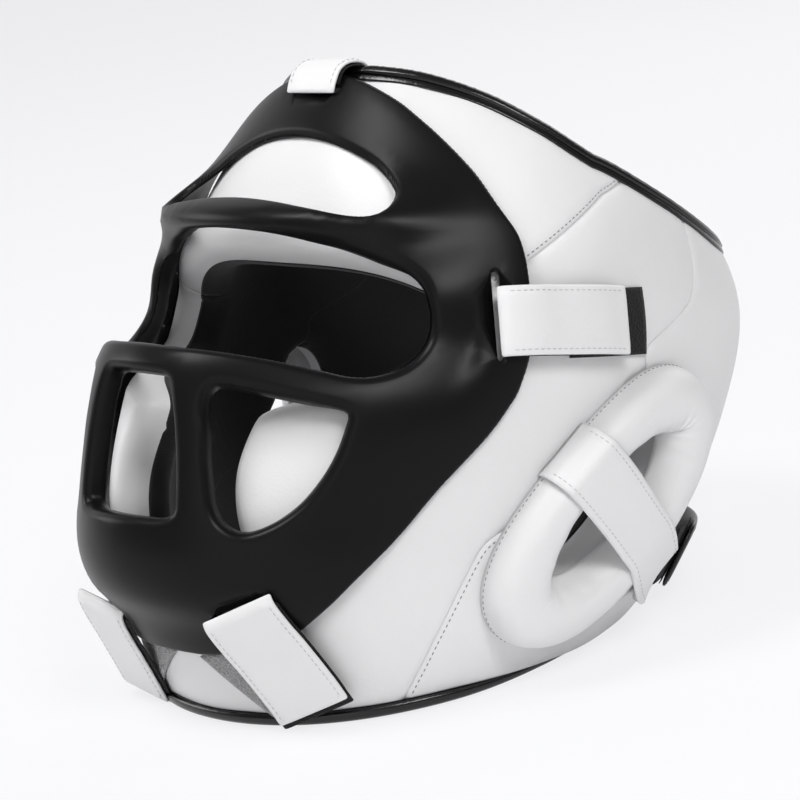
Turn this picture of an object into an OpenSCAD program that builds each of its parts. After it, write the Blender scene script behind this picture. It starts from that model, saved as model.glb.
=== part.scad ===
// Boxing headguard with a detachable moulded face mask.
// Shapes are worked out in the helmet's own frame: X to the wearer's left,
// Y to the back, Z up, phi counted from the nose towards the left ear.
// stand() then sets the finished helmet down on its flat lower edge.

/* [Shell] */
// Breadth of the padded shell over the ears
shell_breadth = 216; // [190:1:240]
// Depth of the padded shell from mouth to nape
shell_depth = 258; // [225:1:290]
// Stretch of all heights, 100 is the size in the photograph
shell_height = 100; // [90:1:110]
// Thickness of the padded wall with its skins
pad_wall = 23; // [18:0.5:28]
// Thickness of the leather outside
leather_wall = 1.4; // [1:0.1:2]
// Thickness of the fabric lining
lining_wall = 1.4; // [1:0.1:2]
// Gap between two layers or two sewn panels
layer_gap = 0.3; // [0.2:0.05:0.5]
// How far the leather is drawn in at its seams
seam_dip = 2.4; // [1:0.1:4]
// Height of the rolled binding on both edges
binding_h = 5; // [4:0.5:7]
// How far the binding stands proud of the wall
binding_lip = 0.8; // [0.4:0.1:1.5]

/* [Face mask] */
// Wall of the mask at its outer margin
mask_wall = 3.2; // [2.8:0.1:4]
// Wall of the mask at its rails and bars
rail_wall = 8.5; // [6:0.5:9]
// Radius of the rounded window edges
edge_round = 3.4; // [2:0.2:4.5]
// Width of the strap slots
slot_w = 6.4; // [6:0.2:8]
// Spare length of a slot beyond its strap
slot_spare = 4; // [2:0.5:8]

/* [Straps] */
// Width of the five mask straps
tab_w = 27; // [22:0.5:30]
// Thickness of a strap's leather
tab_wall = 2; // [1.6:0.1:2.4]
// Thickness of the hook tape under a strap
hook_wall = 1.2; // [0.8:0.1:1.4]
// Thickness of the loop patches on the shell
loop_wall = 1.4; // [1:0.1:1.6]
// Radius of a strap's folded end in its slot
bead_r = 2.4; // [2:0.1:2.8]
// How far the hook tape shows past the leather
hook_show = 3; // [1:0.5:5]
// Height of the nape strap
nape_h = 30; // [24:1:34]
// Thickness of the nape strap
nape_wall = 3; // [2:0.2:4]

/* [Ears] */
// Long half-axis of the ear ring's centre line
ring_long = 51; // [46:1:54]
// Short half-axis of the ear ring's centre line
ring_short = 24.5; // [22:0.5:27]
// Half the width of the ring's roll at its sides
roll_side = 9; // [7:0.5:10]
// Half the width of the ring's roll at its ends
roll_end = 14; // [11:0.5:15]
// Height of the roll above the shell
roll_h = 15; // [10:0.5:18]
// Tilt of the ear ring
ring_tilt = 46; // [35:1:55]
// Thickness of the ear strap
ear_strap_wall = 2; // [1.5:0.1:2.5]

/* [Hidden] */

// Scale of each axis, from the driving sizes
kx = shell_breadth/216;
ky = shell_depth/258;
kz = shell_height/100;

// Sections of the padded shell, bottom to top:
// height, half-breadth, centre, front, back, roundness in front, roundness behind
SHELL = [
  [-120, 79, -10,  -94,  50, 2.1, 2.1],
  [-100, 84,  -6, -101,  72, 2.1, 2.2],
  [ -85, 89,  -2, -106,  87, 2.1, 2.3],
  [ -70, 94,   2, -112, 100, 2.1, 2.4],
  [ -35, 102,  8, -119, 122, 2.1, 2.5],
  [   0, 107, 12, -109, 134, 2.1, 2.6],
  [  35, 108, 15,  -92, 139, 2.1, 2.6],
  [  65, 102, 18,  -72, 133, 2.1, 2.6],
  [  93,  87, 20,  -57, 119, 2.1, 2.5],
  [ 115,  69, 22,  -43, 104, 2.1, 2.4],
  [ 140,  46, 24,  -27,  86, 2.1, 2.3]];

// Sections of the mask's outer face, in the same form
MASK = [
  [-125,  82, -5,  -92,  88, 2, 2.3],
  [ -90,  93,  0, -111, 104, 2, 2.3],
  [ -75,  97,  3, -121, 112, 2, 2.4],
  [ -62, 101,  6, -134, 118, 1.95, 2.4],
  [ -48, 104,  8, -140, 124, 1.9, 2.4],
  [ -30, 107, 10, -140, 130, 1.85, 2.4],
  [   0, 111, 12, -136, 138, 1.85, 2.5],
  [  20, 112, 14, -132, 142, 1.85, 2.5],
  [  30, 112, 15, -126, 143, 1.87, 2.5],
  [  45, 110, 16, -108, 142, 1.95, 2.5],
  [  66, 105, 18,  -86, 136, 2, 2.5],
  [  77, 101, 19,  -81, 131, 2, 2.5],
  [  93,  92, 20,  -62, 122, 2.1, 2.5],
  [ 115,  74, 22,  -48, 107, 2.1, 2.4],
  [ 140,  51, 24,  -32,  89, 2.1, 2.3]];

// Pitch at which the helmet stands on its lower edge, and that edge's height
pitch = 12;
floor_z = -93;

function clamp(v, a, b) = min(max(v, a), b);
function unit(v) = v/norm(v);
function mix(a, b, t) = a + (b - a)*t;
function ease(t) = let (s = clamp(t, 0, 1)) s*s*(3 - 2*s);
function arch(x, n) = sign(x)*pow(abs(x), n);

// Slope of table T at row i, from its neighbours
function slope(T, i) =
  let (a = T[max(i - 1, 0)], b = T[min(i + 1, len(T) - 1)]) (b - a)/(b[0] - a[0]);

// Row of table T at height z, on a smooth curve through the rows
function row(T, z) =
  let (i = max([for (k = [0:len(T) - 2]) if (k == 0 || T[k][0] <= z) k]),
       a = T[i], b = T[i + 1], h = b[0] - a[0], t = clamp((z - a[0])/h, 0, 1))
  a*(1 + 2*t)*(1 - t)*(1 - t) + slope(T, i)*h*t*(1 - t)*(1 - t)
  + b*t*t*(3 - 2*t) + slope(T, i + 1)*h*t*t*(t - 1);

// Point of a sectioned surface: each section is a superellipse
function skin(T, phi, z) =
  let (r = row(T, z), s = sin(phi), c = cos(phi), front = c > 0,
       n = front ? r[5] : r[6], reach = (front ? r[3] : r[4]) - r[2])
  [kx*r[1]*arch(s, 2/n), ky*(r[2] + reach*pow(abs(c), 2/n)), kz*z];

// Outward direction of that surface
function outward(T, phi, z) =
  let (s = 0.6, run = skin(T, phi + s, z) - skin(T, phi - s, z))
  unit(cross(run, skin(T, phi, z + s) - skin(T, phi, z - s)));

// Point at a distance from that surface
function at(T, phi, z, off) = skin(T, phi, z) + outward(T, phi, z)*off;

// Direction and point of the shell's left side at depth y and height z, raised by off
function flank_phi(y, z) =
  let (r = row(SHELL, z), behind = y > r[2], n = behind ? r[6] : r[5],
       reach = (behind ? r[4] : r[3]) - r[2], c = pow(clamp((y - r[2])/reach, 0, 1), n/2))
  behind ? 180 - acos(c) : acos(c);
function flank(y, z, off) = at(SHELL, flank_phi(y, z), z, off);

// Height of the shell's upper edge, over the forehead and behind it
RIM_BACK = [[92.6, 93], [100, 84.5], [106, 77.5], [112, 70], [120, 65], [130, 61.5],
  [145, 58.5], [180, 56]];
function rim_z(phi) =
  let (a = abs(phi))
  a < 92.6 ? 129 - 36*pow(a/92.6, 3) : lookup(a, RIM_BACK);

// Seam between forehead and side panel, from the temple to the rim
function seam_phi(z) = 55 + 37.6*pow(clamp((z - 44)/49, 0, 1), 1.3);

// Height of the lower edge at a direction, where the shell meets the plane of the base:
// each step puts the height of the last one into the plane
function base_z(phi, rise, z = floor_z, steps = 6) =
  let (next = floor_z + rise + tan(pitch)*skin(SHELL, phi, z)[1]/ky)
  steps == 0 ? next : base_z(phi, rise, next, steps - 1);

// Sets the helmet down: its base plane becomes the floor, its middle the origin
function pitched_y(p) = p[1]*cos(pitch) + p[2]*sin(pitch);
front_y = min([for (z = [-60:5:30]) pitched_y(skin(MASK, 0, z))]);
back_y = max([for (z = [-40:5:60]) pitched_y(skin(SHELL, 180, z))]);
module stand() {
  translate([0, -(front_y + back_y)/2, -kz*floor_z*cos(pitch)])
    rotate([-pitch, 0, 0])
      children();
}

// Closed slab between an outer and an inner grid of points
module slab(outer, inner) {
  R = len(outer);
  C = len(outer[0]);
  N = R*C;
  pts = [for (g = [outer, inner]) for (line = g) for (p = line) p];
  q = [for (i = [0:R - 1]) [for (j = [0:C - 1]) i*C + j]];
  faces = concat(
    [for (i = [0:R - 2], j = [0:C - 2]) each [
      [q[i][j], q[i + 1][j], q[i + 1][j + 1]],
      [q[i][j], q[i + 1][j + 1], q[i][j + 1]],
      [N + q[i][j], N + q[i + 1][j + 1], N + q[i + 1][j]],
      [N + q[i][j], N + q[i][j + 1], N + q[i + 1][j + 1]]]],
    [for (j = [0:C - 2]) each [
      [q[0][j], q[0][j + 1], N + q[0][j + 1]],
      [q[0][j], N + q[0][j + 1], N + q[0][j]],
      [q[R - 1][j + 1], q[R - 1][j], N + q[R - 1][j]],
      [q[R - 1][j + 1], N + q[R - 1][j], N + q[R - 1][j + 1]]]],
    [for (i = [0:R - 2]) each [
      [q[i + 1][0], q[i][0], N + q[i][0]],
      [q[i + 1][0], N + q[i][0], N + q[i + 1][0]],
      [q[i][C - 1], q[i + 1][C - 1], N + q[i + 1][C - 1]],
      [q[i][C - 1], N + q[i + 1][C - 1], N + q[i][C - 1]]]]);
  polyhedron(pts, faces);
}

// Closed ring swept through loops of points, one loop after another
module ring_sweep(loops) {
  S = len(loops);
  K = len(loops[0]);
  pts = [for (l = loops) for (p = l) p];
  faces = [for (s = [0:S - 1], k = [0:K - 1])
    let (a = s*K + k, b = s*K + (k + 1)%K, c = ((s + 1)%S)*K + (k + 1)%K, d = ((s + 1)%S)*K + k)
    each [[a, b, c], [a, c, d]]];
  polyhedron(pts, faces);
}

// Solid lofted through loops of points; its far end rises to a point, clear of a curved wall
module loft(loops, rise) {
  S = len(loops);
  K = len(loops[0]);
  mid = function (l) [for (i = [0:2]) [for (p = l) p[i]]*[for (p = l) 1]/len(l)];
  low = mid(loops[0]);
  top = mid(loops[S - 1]);
  pts = concat([for (l = loops) for (p = l) p], [low, top + unit(top - low)*rise]);
  faces = concat(
    [for (s = [0:S - 2], k = [0:K - 1])
      let (a = s*K + k, b = s*K + (k + 1)%K, c = (s + 1)*K + (k + 1)%K, d = (s + 1)*K + k)
      each [[a, d, c], [a, c, b]]],
    [for (k = [0:K - 1]) each [
      [S*K, k, (k + 1)%K],
      [S*K + 1, (S - 1)*K + (k + 1)%K, (S - 1)*K + k]]]);
  polyhedron(pts, faces);
}

// PADDED PANELS
// A panel is a grid of [phi, z]; its three layers follow the same grid
// Depth of each layer's outer and inner face under the shell's surface
foam_top = leather_wall + layer_gap;
foam_low = pad_wall - lining_wall - layer_gap;

// Crown of a panel: full height inside, drawn in along its seams
function crown(u, v) =
  let (flat_u = 1 - pow(abs(2*u - 1), 6), flat_v = 1 - pow(abs(2*v - 1), 6))
  seam_dip*(1 - flat_u*flat_v);

function layer(grid, depth, follow) =
  let (R = len(grid), C = len(grid[0]))
  [for (i = [0:R - 1]) [for (j = [0:C - 1])
    at(SHELL, grid[i][j][0], grid[i][j][1], -depth - follow*crown(j/(C - 1), i/(R - 1)))]];

module cover(grid) {
  slab(layer(grid, 0, 1), layer(grid, leather_wall, 1));
}
module foam(grid) {
  slab(layer(grid, foam_top, 1), layer(grid, foam_low, 0));
}
module lining(grid) {
  slab(layer(grid, pad_wall - lining_wall, 0), layer(grid, pad_wall, 0));
}

// Clearance of a tape or binding that is sewn down
sewn_gap = 0.2;
// Half the gap between two panels, in degrees
g = layer_gap/2/108*180/PI;
// Height of the panels' edges above the base plane and under the rim
edge_low = (binding_h + layer_gap)/cos(pitch);
edge_top = 2;

// Rows of the forehead: heights in the middle and along the seam
BROW_ROWS = [57, 69, 82, 94, 106, 117, 127];
SEAM_ROWS = [44, 57, 68.6, 75.5, 82.5, 90, 91];
BROW_STEPS = [for (s = [-1:2/13:1.001]) s];
forehead_grid = [for (k = [0:len(SEAM_ROWS) - 1]) [for (s = BROW_STEPS)
  [s*(seam_phi(SEAM_ROWS[k]) - g), mix(BROW_ROWS[k], SEAM_ROWS[k], pow(abs(s), 3))]]];

// Front edge of the side panel: chin seam, mouth, cheek top, temple
SIDE_FRONT = [[-114, 24], [-52, 24], [-47, 21.5], [-38, 19], [-15, 15.5], [2, 16], [8, 18.5],
  [12, 26], [14, 40], [17, 52], [21, 58], [27, 60], [38, 59], [44, 55]];
// Seam from the side panel to the rear panel, and the ear hole's two edges in it
SEAM_LOW = [[-77, 61], [-66, 63.2], [-59, 64.6], [-58, 75], [-56.6, 85]];
HOLE_FRONT = [[-55, 82.2], [-48, 80.8], [-40, 80.8], [-30, 83.6], [-19, 87.1], [-10, 90.6],
  [-4, 93.8]];
HOLE_REAR = [[-54, 88.5], [-48, 91], [-38.5, 94.3], [-28, 97.5], [-17.5, 99.8], [-8, 100.4],
  [-3.5, 99.4]];
SEAM_HIGH = [[-1.4, 96.5], [8, 95.4], [27, 94], [38, 101.6], [44, 105.4], [57, 109.2],
  [68.6, 111.5]];
SIDE_TOP = [[75.5, 106], [82.5, 100], [90, 93.4]];
SIDE_REAR = concat(SEAM_LOW, HOLE_FRONT, SEAM_HIGH, SIDE_TOP);
REAR_FRONT = concat(SEAM_LOW, HOLE_REAR, SEAM_HIGH);
LOW_ROWS = [-77, -66, -59, -56.6];
HIGH_ROWS = [-1.4, 8, 17, 27, 38, 44, 57];

// Low seams at the base edge and half way up to the first row
CHIN_SEAM = 24;
SEAM_BASE = 56.1;
SEAM_MID = 58.8;
function low_row(k, from, to, steps) =
  [for (u = [0:1/steps:1.001]) let (p = mix(from, to, u))
    [p, mix(base_z(p, edge_low), LOW_ROWS[0], k/2)]];

function side_front(z) = z < 44 ? lookup(z, SIDE_FRONT) : seam_phi(z);
SIDE_ROWS = concat(LOW_ROWS, [-52, -44, -36, -27, -18, -9, -1.4, 8, 12, 17, 27, 38, 44, 57],
  [68.6, 75.5, 82.5, 90]);
side_grid = concat(
  [low_row(0, CHIN_SEAM + g, SEAM_BASE - g, 6), low_row(1, CHIN_SEAM + g, SEAM_MID - g, 6)],
  [for (z = SIDE_ROWS) [for (u = [0:1/6:1.001])
    [mix(side_front(z) + g, lookup(z, SIDE_REAR) - g, u), z]]]);

// Rows of the rear panel: behind the ear the outer ones close up between base and rim
BACK_END = 179.988;
REAR_LEVEL = -36;
REAR_HIGH = 27;
REAR_TOP = 68.6;
REAR_ROWS = concat(LOW_ROWS, [-48, REAR_LEVEL, -22, -10], HIGH_ROWS);
seam_base_z = base_z(SEAM_BASE, edge_low);
seam_mid_z = (base_z(SEAM_MID, edge_low) + LOW_ROWS[0])/2;
function rear_point(z, u) =
  let (p = mix((z < LOW_ROWS[0] ? SEAM_MID : lookup(z, REAR_FRONT)) + g, BACK_END, u),
       low = (base_z(p, edge_low) - REAR_LEVEL)/(seam_base_z - REAR_LEVEL),
       high = (rim_z(p) - edge_top - REAR_HIGH)/(REAR_TOP - REAR_HIGH),
       closed = z < REAR_LEVEL ? mix(REAR_LEVEL, z, low) : z > REAR_HIGH ? mix(REAR_HIGH, z, high) : z)
  [p, mix(z, closed, min(1, 2*u))];
rear_grid = concat(
  [low_row(0, SEAM_BASE + g, BACK_END, 7)],
  [for (z = concat([seam_mid_z], REAR_ROWS)) [for (u = [0:1/7:1.001]) rear_point(z, u)]],
  [[for (u = [0:1/7:1.001]) let (p = mix(111.5 + g, BACK_END, u)) [p, rim_z(p) - edge_top]]]);

chin_grid = concat([for (k = [0, 1]) low_row(k, g - CHIN_SEAM, CHIN_SEAM - g, 8)],
  [for (z = [-77, -66, -59, -52]) [for (s = [-1:2/8:1.001]) [s*(CHIN_SEAM - g), z]]]);

// BINDINGS
// A binding caps the wall's edge: loops of points across the wall, flat against the panels.
// Its section is given as distance from the outer face and share of the height.
function cap_section(lip, w) =
  [[lip, 0], [lip, 0.55], [lip - 1.6, 0.9], [lip - 4, 1], [-w/2, 1],
   [4 - w, 1], [1.6 - w, 0.9], [-w, 0.55], [-w, 0], [-w/2, 0]];
cap_low = layer_gap + sewn_gap;
cap_top = binding_h + layer_gap;

// Directions at which the panels' edges turn, so that the binding turns there too
rim_half = concat([for (s = [1:2:13]) s/13*92.6], [93.4, 100, 106],
  [for (u = [0:1/7:0.99]) mix(111.5, BACK_END, u)]);
rim_stations = concat([for (i = [len(rim_half) - 1:-1:0]) -rim_half[i]], rim_half, [180]);
rim_section = cap_section(binding_lip, pad_wall + binding_lip);
rim_loops = [for (p = rim_stations)
  let (z = rim_z(p) - edge_top, o = skin(SHELL, p, z), n = outward(SHELL, p, z),
       along = skin(SHELL, p + 2, rim_z(p + 2)) - skin(SHELL, p - 2, rim_z(p - 2)),
       up = unit(cross(n, along)))
  [for (q = rim_section) o + n*q[0] + up*mix(cap_low, cap_top, q[1])]];

// The base binding ends in the plane that the helmet stands on
base_up = [0, sin(pitch), -cos(pitch)];
base_half = concat([6, 12, 18], [for (u = [0:1/6:0.99]) mix(CHIN_SEAM, SEAM_BASE, u)],
  [for (u = [0:1/7:0.99]) mix(SEAM_BASE, BACK_END, u)]);
base_stations = concat([180], [for (i = [len(base_half) - 1:-1:0]) base_half[i]], [0],
  [for (p = base_half) -p]);
base_loops = [for (p = base_stations)
  let (z = base_z(p, edge_low), o = skin(SHELL, p, z), n = outward(SHELL, p, z),
       flat_n = unit(n - base_up*(n*base_up)), slant = (n*base_up)/(n*flat_n),
       w = pad_wall*(n*flat_n) + binding_lip)
  [for (q = cap_section(binding_lip, w))
    o + flat_n*q[0] + base_up*mix(cap_low + slant*q[0], cap_top, q[1])]];

// FACE MASK
// Margin of the mask: height and half-angle it reaches to
MASK_EDGE = [[-85.5, 9], [-84.5, 15], [-81, 23], [-75, 33], [-70, 38], [-60, 45.3], [-42, 51.3],
  [-20.5, 57], [-3, 63.6], [7, 66.7], [14, 68.6], [26.5, 70], [39, 69.5], [51, 68], [64, 65.6],
  [76, 62], [90, 54.6], [106, 44.5], [116, 36.5], [121, 31], [125.5, 22], [127.5, 14], [128.5, 7]];
MASK_ROWS = [-85.5, -84, -80, -74, -67, -58, -46, -33, -19, -6, 7, 18, 27, 36, 45, 55, 65, 73,
  80, 91, 102, 113, 121, 126, 128.5];
// Right halves of the window outlines, from the lower middle to the upper middle
EYE = [[0, 31.5], [9, 31], [18, 29.8], [27, 27.5], [36, 24], [42, 21.6], [46.5, 21.5], [50, 25],
  [51.5, 33], [50.3, 44], [47, 53], [41, 59.3], [30, 64.3], [18, 67], [9, 68.3], [0, 68.8]];
BROW = [[0, 79.2], [11, 78.6], [22, 77], [31, 76], [35.5, 76.8], [37, 80], [35.9, 85], [30.7, 91.2],
  [24, 97], [12, 102.6], [0, 104.6]];
MOUTH = [[0, -31.5], [12, -31.5], [15.3, -30], [16, -26], [15.2, -12], [13.2, 6], [11.6, 16],
  [10.6, 19], [8.5, 20.3], [0, 21]];
// Whole outline of the left cheek window
CHEEK = [[30, -35.3], [34.6, -31.5], [38.3, -25], [41, -16], [42.6, -7], [43.3, 1.6], [43.3, 7],
  [41.5, 9.3], [36, 12], [29, 15], [22, 17], [19.8, 15.5], [19.6, 8], [20.6, 0], [21.4, -10],
  [22.4, -18], [23.9, -28], [26.4, -33.5]];

function both_halves(half) =
  let (n = len(half))
  concat(half, [for (i = [n - 2:-1:1]) [-half[i][0], half[i][1]]]);

// Outline with a point added between each pair, on a smooth curve through four neighbours
function rounded(P) =
  let (n = len(P))
  [for (i = [0:n - 1]) each
    [P[i], (9*(P[i] + P[(i + 1)%n]) - P[(i + n - 1)%n] - P[(i + 2)%n])/16]];

// Wall of the mask: thick at the rails and bars, thin at the margin
function mask_t(phi, z) =
  let (inward = ease((50 - abs(phi))/14), above = ease((z + 78)/18), under = ease((82 - z)/12))
  mask_wall + (rail_wall - mask_wall)*inward*above*under;

mask_grid = [for (z = MASK_ROWS) [for (s = [-1:1/9:1.001]) [s*lookup(z, MASK_EDGE), z]]];

// Solid that cuts a window with rounded outer edges of radius r
module window(edge, r) {
  n = len(edge);
  P = [for (q = edge) skin(MASK, q[0], q[1])];
  N = [for (q = edge) outward(MASK, q[0], q[1])];
  B = [for (i = [0:n - 1]) unit(cross(P[(i + 1)%n] - P[(i + n - 1)%n], N[i]))];
  steps = [[0, -rail_wall - 3], [0, -r], [0.29*r, -0.29*r], [r, 0], [r + 1.5, 2.5]];
  loft([for (q = steps) [for (i = [0:n - 1]) P[i] + B[i]*q[0] + N[i]*q[1]]], 120);
}

// STRAPS
// A strap leaves its slot at s and ends at e; its own axes run along, out and across
module along_strap(s, e, n) {
  x = unit(e - s);
  y = unit(n - x*(n*x));
  z = cross(x, y);
  multmatrix([[x[0], y[0], z[0], s[0]], [x[1], y[1], z[1], s[1]], [x[2], y[2], z[2], s[2]]])
    children();
}

// Outline of a band along a path, between two heights over it
function band(path, lo, hi) =
  let (n = len(path), run = [for (i = [0:n - 1]) path[min(i + 1, n - 1)] - path[max(i - 1, 0)]],
       side = [for (d = run) [-d[1], d[0]]/norm(d)])
  concat([for (i = [0:n - 1]) path[i] + side[i]*lo],
         [for (i = [n - 1:-1:0]) path[i] + side[i]*hi]);

// Path of a strap's middle layer: lift gives its height at shares of its length.
// It starts at a step and goes on straight past its end
STEPS = 14;
function strap_path(length, lift, first, past) =
  let (slope = (row(lift, 1)[1] - row(lift, 0.99)[1])/0.01/length)
  concat([for (k = [first:STEPS]) [k/STEPS*length, row(lift, k/STEPS)[1]]],
         [if (past > 0) [length + past, row(lift, 1)[1] + past*slope]]);

// Middle of a strap's leather over a seat that the hook tape lies on
seat_lift = layer_gap + loop_wall + sewn_gap + hook_wall + tab_wall/2;
side_s = skin(MASK, 62.5, 38.6);
side_e = at(SHELL, 90.4, 36.4, seat_lift);
side_n = outward(MASK, 62.5, 38.6) + outward(SHELL, 90.4, 36.4);
SIDE_LIFT = [[0, 1.4], [0.08, 4.1], [0.25, 5.2], [0.45, 4.4], [0.65, 4.1], [0.8, 3.2], [1, 0.6]];
chin_s = skin(MASK, 27, -61.8);
chin_e = at(SHELL, 35, -101.8, seat_lift);
chin_n = outward(MASK, 27, -61.8) + outward(SHELL, 35, -101.8);
CHIN_LIFT = [[0, 1.4], [0.08, 3], [0.25, 2.5], [0.45, 1.2], [0.7, 0.3], [0.88, 0.3], [1, 1.1]];

// The top strap turns over the rim: points of its path in the middle plane, as depth and height
function plane(p) = [p[1], p[2]];
rim_o = skin(SHELL, 0, rim_z(0) - edge_top);
rim_n = outward(SHELL, 0, rim_z(0) - edge_top);
rim_up = unit(cross(rim_n, [1, 0, 0]));
tab_over = hook_wall + tab_wall/2 + layer_gap;
rim_top = cap_top + tab_over + 0.6;
top_s = plane(at(MASK, 0, 121, 1.4));
TOP_POINTS = [top_s, plane(at(MASK, 0, 124.5, tab_over)), plane(at(MASK, 0, 128.5, tab_over + 0.3)),
  plane(rim_o + rim_n*(binding_lip + tab_over + 1.2) + rim_up*binding_h),
  plane(rim_o - rim_n*0.7 + rim_up*rim_top), plane(rim_o - rim_n*6 + rim_up*rim_top),
  plane(rim_o - rim_n*13 + rim_up*rim_top)];
function curve_point(P, t) =
  let (n = len(P) - 1, i = min(floor(t*n), n - 1), f = t*n - i,
       a = P[max(i - 1, 0)], b = P[i], c = P[i + 1], d = P[min(i + 2, n)])
  b + 0.5*f*(c - a + f*(2*a - 5*b + 4*c - d + f*(3*(b - c) + d - a)));
function top_path(first) = [for (k = [first:20]) curve_point(TOP_POINTS, k/20)];

module top_plane() {
  multmatrix([[0, 0, 1, 0], [1, 0, 0, 0], [0, 1, 0, 0]])
    children();
}
module strap_leather(path) {
  linear_extrude(tab_w, center = true) {
    polygon(band(path, -tab_wall/2, tab_wall/2));
    translate(path[0]) circle(bead_r, $fn = 24);
  }
}
module strap_hook(path) {
  linear_extrude(tab_w, center = true)
    polygon(band(path, -tab_wall/2 - hook_wall, -tab_wall/2 - sewn_gap));
}

// How much further the side slots run above their straps
side_spare = 5;
// Slot cut through the mask across a strap's path
module slot(spare) {
  linear_extrude(4*rail_wall, center = true)
    union() {
      square([slot_w, tab_w + spare - slot_w], center = true);
      for (k = [-1, 1])
        translate([0, k*(tab_w + spare - slot_w)/2])
          circle(slot_w/2, $fn = 20);
    }
}
// Turns a slot so that it runs across the strap and through the wall
module slot_place(s, e, n) {
  along_strap(s, e, n)
    rotate([-90, 0, 0])
      children();
}

// EARS
ear_y = 11.5;
ear_z = -29;
function ear_point(a, b) =
  [ear_y + a*cos(ring_tilt) + b*sin(ring_tilt), ear_z + a*sin(ring_tilt) - b*cos(ring_tilt)];
ring_loops = [for (t = [360:-360/28:1]) let (a = ring_long*cos(t), b = ring_short*sin(t),
    d = unit([ring_short*cos(t), ring_long*sin(t)]), w = mix(roll_side, roll_end, cos(t)*cos(t)))
  [for (q = [[-1, 0], [0, 0], [1, 0], [0.9, 0.5], [0.55, 0.86], [0, 1], [-0.55, 0.86], [-0.9, 0.5]])
    let (p = ear_point(a + d[0]*q[0]*w, b + d[1]*q[0]*w)) flank(p[0], p[1], layer_gap + 0.1 + q[1]*roll_h)]];

// Path of the ear strap: depth, height and lift over the shell
ear_strap_w = 25;
strap_shift = -4;
over_roll = roll_h + 2*layer_gap + 0.2;
function strap_at(b, lift) = let (p = ear_point(strap_shift, b)) [p[0], p[1], lift];
strap_start = ring_short + roll_side;
strap_low = 0.5;
OVER_RING = [[-strap_start - 1.2, strap_low], [-strap_start - 0.9, 0.55*over_roll],
  [-ring_short - 5.5, 0.93*over_roll], [-ring_short, over_roll], [-8, over_roll], [8, over_roll],
  [ring_short - 3, over_roll]];
EAR_STRAP = concat([for (q = OVER_RING) strap_at(q[0], q[1])],
  [[33, -54.5, 0.8*over_roll + 2], [39, -56.5, 0.5*over_roll], [46, -57, 0.25*over_roll],
   [53, -56.5, 1.2], [59, -55.5, strap_low], [68, -54, strap_low], [80, -52, strap_low]]);
function strap_row(i, lift) =
  let (n = len(EAR_STRAP), p = EAR_STRAP[i],
       run = EAR_STRAP[min(i + 1, n - 1)] - EAR_STRAP[max(i - 1, 0)],
       d = i < 3 ? [sin(ring_tilt), -cos(ring_tilt)] : [run[0], run[1]]/norm([run[0], run[1]]))
  [for (w = [-1:2/3:1.001])
    flank(p[0] - d[1]*w*ear_strap_w/2, p[1] + d[0]*w*ear_strap_w/2, p[2] + lift)];
strap_outer = [for (i = [0:len(EAR_STRAP) - 1]) strap_row(i, ear_strap_wall)];
strap_inner = [for (i = [0:len(EAR_STRAP) - 1]) strap_row(i, 0)];

// NAPE
// Height of the nape strap at its ends on the ear straps, and how much higher it runs behind
nape_z = -50.5;
nape_rise = 7;
nape_end = 117;
function nape_mid(phi) = nape_z + nape_rise*(1 - pow(abs(phi - 180)/(180 - nape_end), 2));
// Grid of [phi, z] between two directions, centred on the strap's height there
function nape_grid(from, to, steps, h) =
  [for (w = [-1, 0, 1]) [for (u = [0:1/steps:1.001]) let (p = mix(from, to, u))
    [p, nape_mid(p) + w*h/2]]];
function nape_points(grid, off) = [for (line = grid) [for (q = line) at(SHELL, q[0], q[1], off)]];
nape_seat = strap_low + ear_strap_wall + 2*layer_gap;
nape_loop_wall = 1;
nape_hook_wall = 0.8;
nape_hook_len = 14;
nape_loop_len = 10;
nape_in = nape_seat + nape_loop_wall + layer_gap + nape_hook_wall;
// Inner face of the nape strap: over the tapes on the left, down on the right ear strap
function nape_off(phi) = mix(nape_seat, nape_in, ease((222 - phi)/40));
function nape_face(grid, lift) =
  [for (line = grid) [for (q = line) at(SHELL, q[0], q[1], nape_off(q[0]) + lift)]];

// Closed patch on the shell between four corners of [phi, z]: lower pair, upper pair
function patch_grid(a, b, c, d) =
  [for (v = [0:1/4:1.001]) [for (u = [0:1/4:1.001]) mix(mix(a, b, u), mix(d, c, u), v)]];
module patch(grid, off, wall) {
  slab(nape_points(grid, off + wall), nape_points(grid, off));
}

module left_right(left) {
  mirror([left ? 0 : 1, 0, 0])
    children();
}

module forehead_cover() { color("whitesmoke") stand() cover(forehead_grid); }
module chin_cover() { color("whitesmoke") stand() cover(chin_grid); }
module side_cover(left) { color("whitesmoke") stand() left_right(left) cover(side_grid); }
module rear_cover(left) { color("whitesmoke") stand() left_right(left) cover(rear_grid); }
module forehead_foam() { color("khaki") stand() foam(forehead_grid); }
module chin_foam() { color("khaki") stand() foam(chin_grid); }
module side_foam(left) { color("khaki") stand() left_right(left) foam(side_grid); }
module rear_foam(left) { color("khaki") stand() left_right(left) foam(rear_grid); }
module forehead_lining() { color("dimgray") stand() lining(forehead_grid); }
module chin_lining() { color("dimgray") stand() lining(chin_grid); }
module side_lining(left) { color("dimgray") stand() left_right(left) lining(side_grid); }
module rear_lining(left) { color("dimgray") stand() left_right(left) lining(rear_grid); }

// Breadth of the mask at its widest row
mask_breadth = 2*max([for (z = MASK_ROWS) skin(MASK, lookup(z, MASK_EDGE), z)[0]]);

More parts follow.
